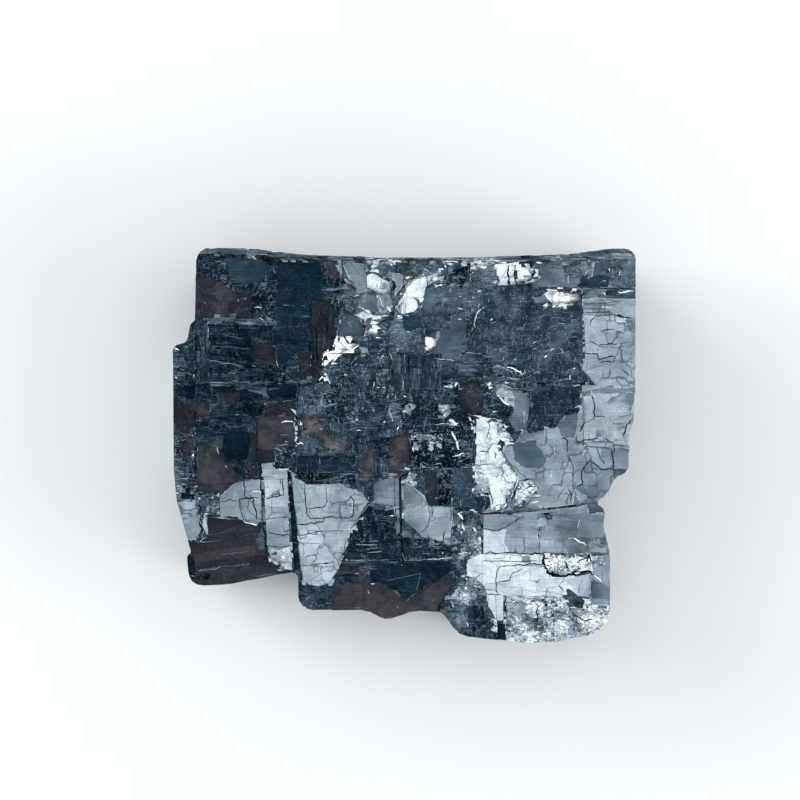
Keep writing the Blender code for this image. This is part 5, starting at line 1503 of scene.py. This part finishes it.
# %% Clouds, striae and splinters
def textures(tree, where):
    """The patterns that all three surfaces share."""
    # Clouds of tarnish a millimetre or so across, with finer ones within.
    clouds = add(tree, "TexNoise",
                 {"Scale": per_mm(1.4), "Detail": 6, "Roughness": 0.62}, {"Vector": where})
    # Growth striae, which run level on every side. Real ones are a few hundredths of a millimetre
    # apart, too fine to show, so these are drawn 0.2 mm apart.
    stretched = add(tree, "Mapping", {"Scale": (per_mm(2.4), per_mm(0.2), per_mm(0.3))},
                    {"Vector": where})
    striae = add(tree, "TexNoise", {"Scale": 1, "Detail": 4, "Roughness": 0.65},
                 {"Vector": stretched})
    # Broad patches, where the hair cracks below show or don't.
    broad = add(tree, "TexNoise", {"Scale": per_mm(4.5), "Detail": 2}, {"Vector": where})
    # Splinters and pits 0.3 mm across; the pale ones are painted glints.
    specks = add(tree, "TexNoise",
                 {"Scale": per_mm(0.3), "Detail": 2, "Distortion": 1.2}, {"Vector": where})
    return clouds, striae, broad, specks


# %% Hair cracks and torn laminae
WARP = 0.0009  # how far the clouds bend the square cracks, in m


def square_cracks(tree, where, clouds, broad):
    """Hair cracks of plates, 1 where they are: borders of bent square cells, in places."""
    bent = add(tree, "VectorMath", {"operation": "SCALE", "Scale": WARP}, {0: clouds.outputs[1]})
    path = add(tree, "VectorMath", {"operation": "ADD"}, {0: where, 1: bent})
    settings = {"distance": "CHEBYCHEV", "Scale": per_mm(2.6)}
    first = add(tree, "TexVoronoi", {"feature": "F1", **settings}, {"Vector": path})
    second = add(tree, "TexVoronoi", {"feature": "F2", **settings}, {"Vector": path})
    gap = add(tree, "Math", {"operation": "SUBTRACT"}, {0: second, 1: first})
    line = add(tree, "MapRange", between(0.02, 0.06, 1, 0), {"Value": gap})
    shown = add(tree, "MapRange", between(0.47, 0.56, 0, 1), {"Value": broad})
    return add(tree, *TIMES, {0: line, 1: shown})


def wisps(tree, where, broad, stretch):
    """Torn edges of thin laminae on dull ground: contour lines of a twisted cloud, in places."""
    scale = [per_mm(size) for size in stretch]
    path = add(tree, "Mapping", {"Scale": scale}, {"Vector": where})
    cloud = add(tree, "TexNoise",
                {"Scale": 1, "Detail": 3, "Roughness": 0.55, "Distortion": 0.9}, {"Vector": path})
    off = add(tree, "Math", {"operation": "SUBTRACT", 1: 0.5}, {0: cloud})
    near = add(tree, "Math", {"operation": "ABSOLUTE"}, {0: off})
    line = add(tree, "MapRange", between(0.002, 0.014, 1, 0), {"Value": near})
    shown = add(tree, "MapRange", between(0.42, 0.58, 0.1, 1), {"Value": broad})
    return add(tree, *TIMES, {0: line, 1: shown})


LEVEL_WISPS = (4.6, 1.3, 2.0)  # mm across each of the cloud's lobes in x, y and z
UPRIGHT_WISPS = (1.3, 3.2, 2.0)


def torn_edges(tree, where, broad, striae, broken):
    """Wisps that run level and wisps that run upright, on broken ground only."""
    level = wisps(tree, where, broad, LEVEL_WISPS)
    upright = wisps(tree, where, striae, UPRIGHT_WISPS)
    both = add(tree, *LARGER, {0: level, 1: upright})
    return add(tree, *TIMES, {0: both, 1: broken})


# %% [markdown]
# ## The metal
#
# There are three surfaces. Fresh cleavage is smooth metal. Dull galena is the same metal under a
# thin film of sulphate, which spreads its highlight. The brown limonite film is so thin that the
# metal still shines through it, so it is rougher but nearly as metallic. One recipe makes all
# three: the colour comes from the attribute *tone_and_painted_light*, the mineral's tone with
# painted reflection, sheen and glints, and the patterns darken, mark and roughen it.


# %% Building a surface
def worn_thin(tree, tone_and_painted_light, clouds, depth, bare):
    """A film's colour, with the bare metal under it showing in clouds and toward the rim."""
    rim = add(tree, "MapRange", between(0, 1, 0.2, 0), {"Value": depth})
    thin = add(tree, "Math", {"operation": "ADD"}, {0: clouds, 1: rim})
    share = add(tree, "MapRange", between(0.46, 0.76, 0, 0.86), {"Value": thin})
    return add(tree, "Mix", {"data_type": "RGBA", 7: (*linear(bare), 1)},
               {0: share, 6: tone_and_painted_light}).outputs[2]


def mottled(tree, tone_and_painted_light, clouds, striae, broad, mottle):
    """The colour made lighter and darker by the clouds, the striae and the broad patches."""
    drifts = [
        add(tree, "MapRange", between(low, 1 - low, 1 - part, 1 + part), {"Value": pattern})
        for pattern, low, part in (
            (clouds, 0.28, mottle), (striae, 0.3, mottle * 0.6), (broad, 0.3, mottle * 0.7)
        )
    ]
    shade = add(tree, *TIMES, {0: drifts[0], 1: drifts[1]})
    shade = add(tree, *TIMES, {0: shade, 1: drifts[2]})
    return add(tree, "VectorMath", {"operation": "SCALE"}, {0: tone_and_painted_light, "Scale": shade})


def mineral(name, metallic, roughness, mottle, mark_and_glint_colour, hair, speck, relief,
            plates=False, bare=None):
    """A surface coloured by tone and painted light, with clouds, striae, hair lines and specks."""
    material = bpy.data.materials.new(name)
    material.use_nodes = True
    tree = material.node_tree
    shader = tree.nodes["Principled BSDF"]
    shader.inputs["Metallic"].default_value = metallic
    tone_and_painted_light = add(tree, "Attribute", {"attribute_name": "tone_and_painted_light"})
    broken = tone_and_painted_light.outputs["Alpha"]
    where = add(tree, "TexCoord").outputs["Object"]
    clouds, striae, broad, specks = textures(tree, where)
    if bare:
        tone_and_painted_light = worn_thin(tree, tone_and_painted_light, clouds, broken, bare)
    tinted = mottled(tree, tone_and_painted_light, clouds, striae, broad, mottle)

    if plates:
        lines = square_cracks(tree, where, clouds, broad)
    else:
        lines = torn_edges(tree, where, broad, striae, broken)
    lines = add(tree, "Math", {"operation": "MULTIPLY", 1: hair}, {0: lines})
    swarm = add(tree, "MapRange", between(0.44, 0.62, 0, speck), {"Value": clouds})
    spot = add(tree, "MapRange", between(0.57, 0.66, 0, 1), {"Value": specks})
    if not plates and not bare:
        # Smooth plates of dull metal are free of splinters and their painted glints.
        spot = add(tree, *TIMES, {0: spot, 1: broken})
    fleck = add(tree, *TIMES, {0: spot, 1: swarm})
    share = add(tree, *LARGER, {0: lines, 1: fleck})
    # On dull metal and the film the marks are pale: painted glints on splinters and painted highlights
    # on torn edges. On fresh metal they are dark hair cracks and pits.
    marked = add(tree, "Mix", {"data_type": "RGBA", 7: (*linear(mark_and_glint_colour), 1)},
                 {0: share, 6: tinted})
    tree.links.new(marked.outputs[2], shader.inputs["Base Color"])

    rough = add(tree, "MapRange",
                between(0.3, 0.7, roughness * 0.75, roughness * 1.25), {"Value": clouds})
    tree.links.new(rough.outputs[0], shader.inputs["Roughness"])
    height = add(tree, "Math", {"operation": "ADD"}, {0: striae, 1: specks})
    bump = add(tree, "Bump", {"Strength": relief, "Distance": BUMP_HEIGHT}, {"Height": height})
    tree.links.new(bump.outputs[0], shader.inputs["Normal"])
    return material


# %% The three surfaces
BUMP_HEIGHT = 0.00005  # 0.05 mm

# Split, not polished: nearly a mirror, slightly softened by striae. Reads as pale bright metal
# with dark hair cracks that run square to each other.
fresh = mineral("galena fresh cleavage", metallic=1.0, roughness=0.26, mottle=0.26,
                mark_and_glint_colour="#2a3741", hair=0.7, speck=0.6, relief=0.4, plates=True)

# Weathered to a thin skin of sulphate: a broad, satin highlight. Reads as slate to blue-black,
# with pale splinters and torn edges where the ground is broken: painted glints and painted
# highlights in the colour.
dulled = mineral("galena dulled by lead sulphate", metallic=1.0, roughness=0.42, mottle=0.42,
                 mark_and_glint_colour="#a2b4c0", hair=0.62, speck=0.35, relief=0.6)

# Dried from iron-bearing water on the metal: almost matt. Reads as a warm brown-grey stain that
# thins out to blue-black in clouds.
filmed = mineral("limonite film on galena", metallic=0.9, roughness=0.55, mottle=0.16,
                 mark_and_glint_colour="#6a7078", hair=0.3, speck=0.3, relief=0.6, bare="#182530")

MATERIALS = [fresh, dulled, filmed]
FRESH_FROM = 3.6  # the shade from which the metal counts as fresh


def kind_of(shade):
    """Index of the material that suits a shade."""
    return 2 if shade < 0 else 1 if shade < FRESH_FROM else 0


print("nodes in each surface:", [len(made.node_tree.nodes) for made in MATERIALS])

# %% [markdown]
# ## Painted sheen on the plates
#
# A plate of the real block is never quite flat, so the light on it drifts across it. The bends
# are too slight to hold in the mesh, so the drift is painted into the colour at each corner as
# painted sheen: a slow noise everywhere, and a few soft spots of painted highlight and painted
# shade where a plate bends most.

# %% Painted sheen
# Painted sheen spots on the broad face: middle, width and height in mm, change of shade.
PAINTED_SHEEN_SPOTS = [
    (11.4, -12.8, 2.2, 1.6, 0.8), (16.4, -12.8, 1.6, 1.2, 0.5), (14.2, -10.2, 1.8, 0.9, -0.4),
    (23.4, -17.9, 1.6, 1.8, -0.6), (1.0, -10.4, 1.0, 0.8, -1.3), (4.6, -11.4, 1.4, 0.9, -0.3),
    (6.6, 13.6, 0.7, 2.6, 0.8), (3.0, 20.9, 1.0, 0.9, -0.8), (-2.2, 20.2, 0.8, 0.9, -0.8),
    (27.6, 21.4, 2.2, 1.2, 0.5), (29.0, 13.2, 2.0, 1.6, -0.3), (21.4, -11.2, 2.2, 1.2, -0.2),
    (-8.0, -9.2, 2.0, 1.2, -0.3), (16.0, -5.4, 1.4, 1.2, 0.7), (28.6, -12.2, 2.0, 1.4, 0.4),
    (9.6, -17.4, 1.6, 1.6, -0.3), (13.8, -16.6, 1.4, 1.1, 0.3), (26.8, -18.2, 1.6, 1.4, 0.3),
]
PAINTED_SHEEN_SWELLS = (3.2, 1.3)  # sizes of the slow noise of painted sheen, in mm
DARKEST_PAINTED_SHEEN = 0.6  # films and ground darker than this get no painted sheen


def painted_sheen(point, shade):
    """Painted sheen: how much a shade rises or falls at a place, as a plate is never quite flat."""
    lift = 0.5 * noise.noise(point / PAINTED_SHEEN_SWELLS[0]) + 0.5 * noise.noise(point / PAINTED_SHEEN_SWELLS[1])
    for x, y, width, height, change in PAINTED_SHEEN_SPOTS if point.z > BROAD else ():
        lift += change * math.exp(-((point.x - x) / width) ** 2 - ((point.y - y) / height) ** 2)
    return lift if shade > 3 else lift / 2


def shade_with_painted_sheen(point, shade):
    """The shade of a face at one of its corners, with the painted sheen added."""
    if shade < DARKEST_PAINTED_SHEEN:
        return shade
    return max(DARKEST_PAINTED_SHEEN, shade + painted_sheen(point, shade))


print("a grey plate's shade at the origin:", round(shade_with_painted_sheen(Vector((0, 0, TOP)), 4), 2))

# %% [markdown]
# ## The finished piece
#
# The block is one lump, so it is one piece, back in metres. Each corner carries its tone together
# with the painted sheen, glints and reflection, and each face its surface. Shading stays flat,
# because cleavage planes meet at sharp edges.


# %% The piece
def build_piece(points, skin, shades, breaks):
    """The block as one object: tone and painted light at each corner, a surface on each face."""
    mesh = bpy.data.meshes.new("galena_cleavage")
    mesh.from_pydata([point * MM for point in points], [], skin)
    tones_and_painted_light, kinds, breaks = [], [], iter(breaks)
    for face, shade in zip(skin, shades):
        for index in face:
            tones_and_painted_light += [*colour_of(shade_with_painted_sheen(points[index], shade)), next(breaks)]
        kinds.append(kind_of(shade))
    mesh.attributes.new("tone_and_painted_light", "FLOAT_COLOR", "CORNER").data.foreach_set("color", tones_and_painted_light)
    mesh.polygons.foreach_set("material_index", kinds)
    for material in MATERIALS:
        mesh.materials.append(material)
    mesh.update()
    piece = bpy.data.objects.new("galena_cleavage", mesh)
    bpy.context.scene.collection.objects.link(piece)
    print("faces asked for:", len(skin), " kept after validation:", end=" ")
    mesh.validate()
    print(len(mesh.polygons))
    return piece


piece = build_piece(points, skin, face_shades, corner_breaks)
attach(piece, "root")
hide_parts("galena")
block.free()
packed.free()

# %% [markdown]
# ## The floor
#
# The block lies on a large sheet of white paper. A dark one would turn its sides black, since
# metal shows what is around it. The sheet belongs to the stage and not to the part.


# %% Floor
EDGE = 1.5  # m from the middle of the sheet to its sides


def floor():
    """A level square sheet under the block."""
    mesh = bpy.data.meshes.new("floor")
    corners = [(-EDGE, -EDGE, 0), (EDGE, -EDGE, 0), (EDGE, EDGE, 0), (-EDGE, EDGE, 0)]
    mesh.from_pydata(corners, [], [(0, 1, 2, 3)])
    # Pressed and uncoated, so it is matt and an even, faintly cool white.
    paper = bpy.data.materials.new("white paper")
    paper.use_nodes = True
    shader = paper.node_tree.nodes["Principled BSDF"]
    shader.inputs["Base Color"].default_value = (*linear("#f2f4f5"), 1)
    shader.inputs["Roughness"].default_value = 0.9
    mesh.materials.append(paper)
    made = bpy.data.objects.new("floor", mesh)
    bpy.context.scene.collection.objects.link(made)
    print("floor, m across:", 2 * EDGE)


floor()

# %% [markdown]
# ## Lamps and camera
#
# Metal shows what it reflects, so the lamps' places matter more than their strength. A sun would be
# a mere point in so smooth a metal. A soft panel straight above lights the level planes evenly.
# Two broad panels low at the sides are brighter, and any facet that leans more than some twenty
# degrees catches one of them and flashes. The camera looks straight down through a long lens,
# which shows the broad face nearly without perspective.


# %% Lamps and surroundings
def panel(name, place, size, radiance, colour):
    """A square lamp that faces the block; radiance is what a mirror would show of it."""
    lamp = bpy.data.lights.new(name, "AREA")
    lamp.size = size
    lamp.energy = radiance * math.pi * size * size
    lamp.color = linear(colour)
    made = bpy.data.objects.new(name, lamp)
    made.location = place
    made.rotation_euler = (-Vector(place)).to_track_quat("-Z", "Y").to_euler()
    bpy.context.scene.collection.objects.link(made)
    print(name, "lamp, W:", round(lamp.energy, 2))


panel("overhead", (0, 0.02, 0.9), 0.8, 1.0, "#ffffff")
panel("left", (-0.75, 0.35, 0.62), 0.6, 3.6, "#ffffff")
panel("right", (0.78, -0.2, 0.62), 0.6, 3.0, "#ffffff")

world = bpy.data.worlds.new("studio")
world.use_nodes = True
backdrop = world.node_tree.nodes["Background"]
backdrop.inputs["Color"].default_value = (*linear("#f4f6f8"), 1)
backdrop.inputs["Strength"].default_value = 0.6
bpy.context.scene.world = world

# %% Camera
FOCAL, SENSOR = 200, 36  # mm
EYE = (-0.00052, 0.00598, 0.6048)  # m
lens = bpy.data.cameras.new("camera")
lens.lens, lens.sensor_width = FOCAL, SENSOR
camera = bpy.data.objects.new("camera", lens)
camera.location = EYE
bpy.context.scene.collection.objects.link(camera)
bpy.context.scene.camera = camera
bpy.context.scene.view_settings.view_transform = "Standard"
print("mm in view at the broad face:", round((EYE[2] / MM - TOP) * SENSOR / FOCAL, 1))
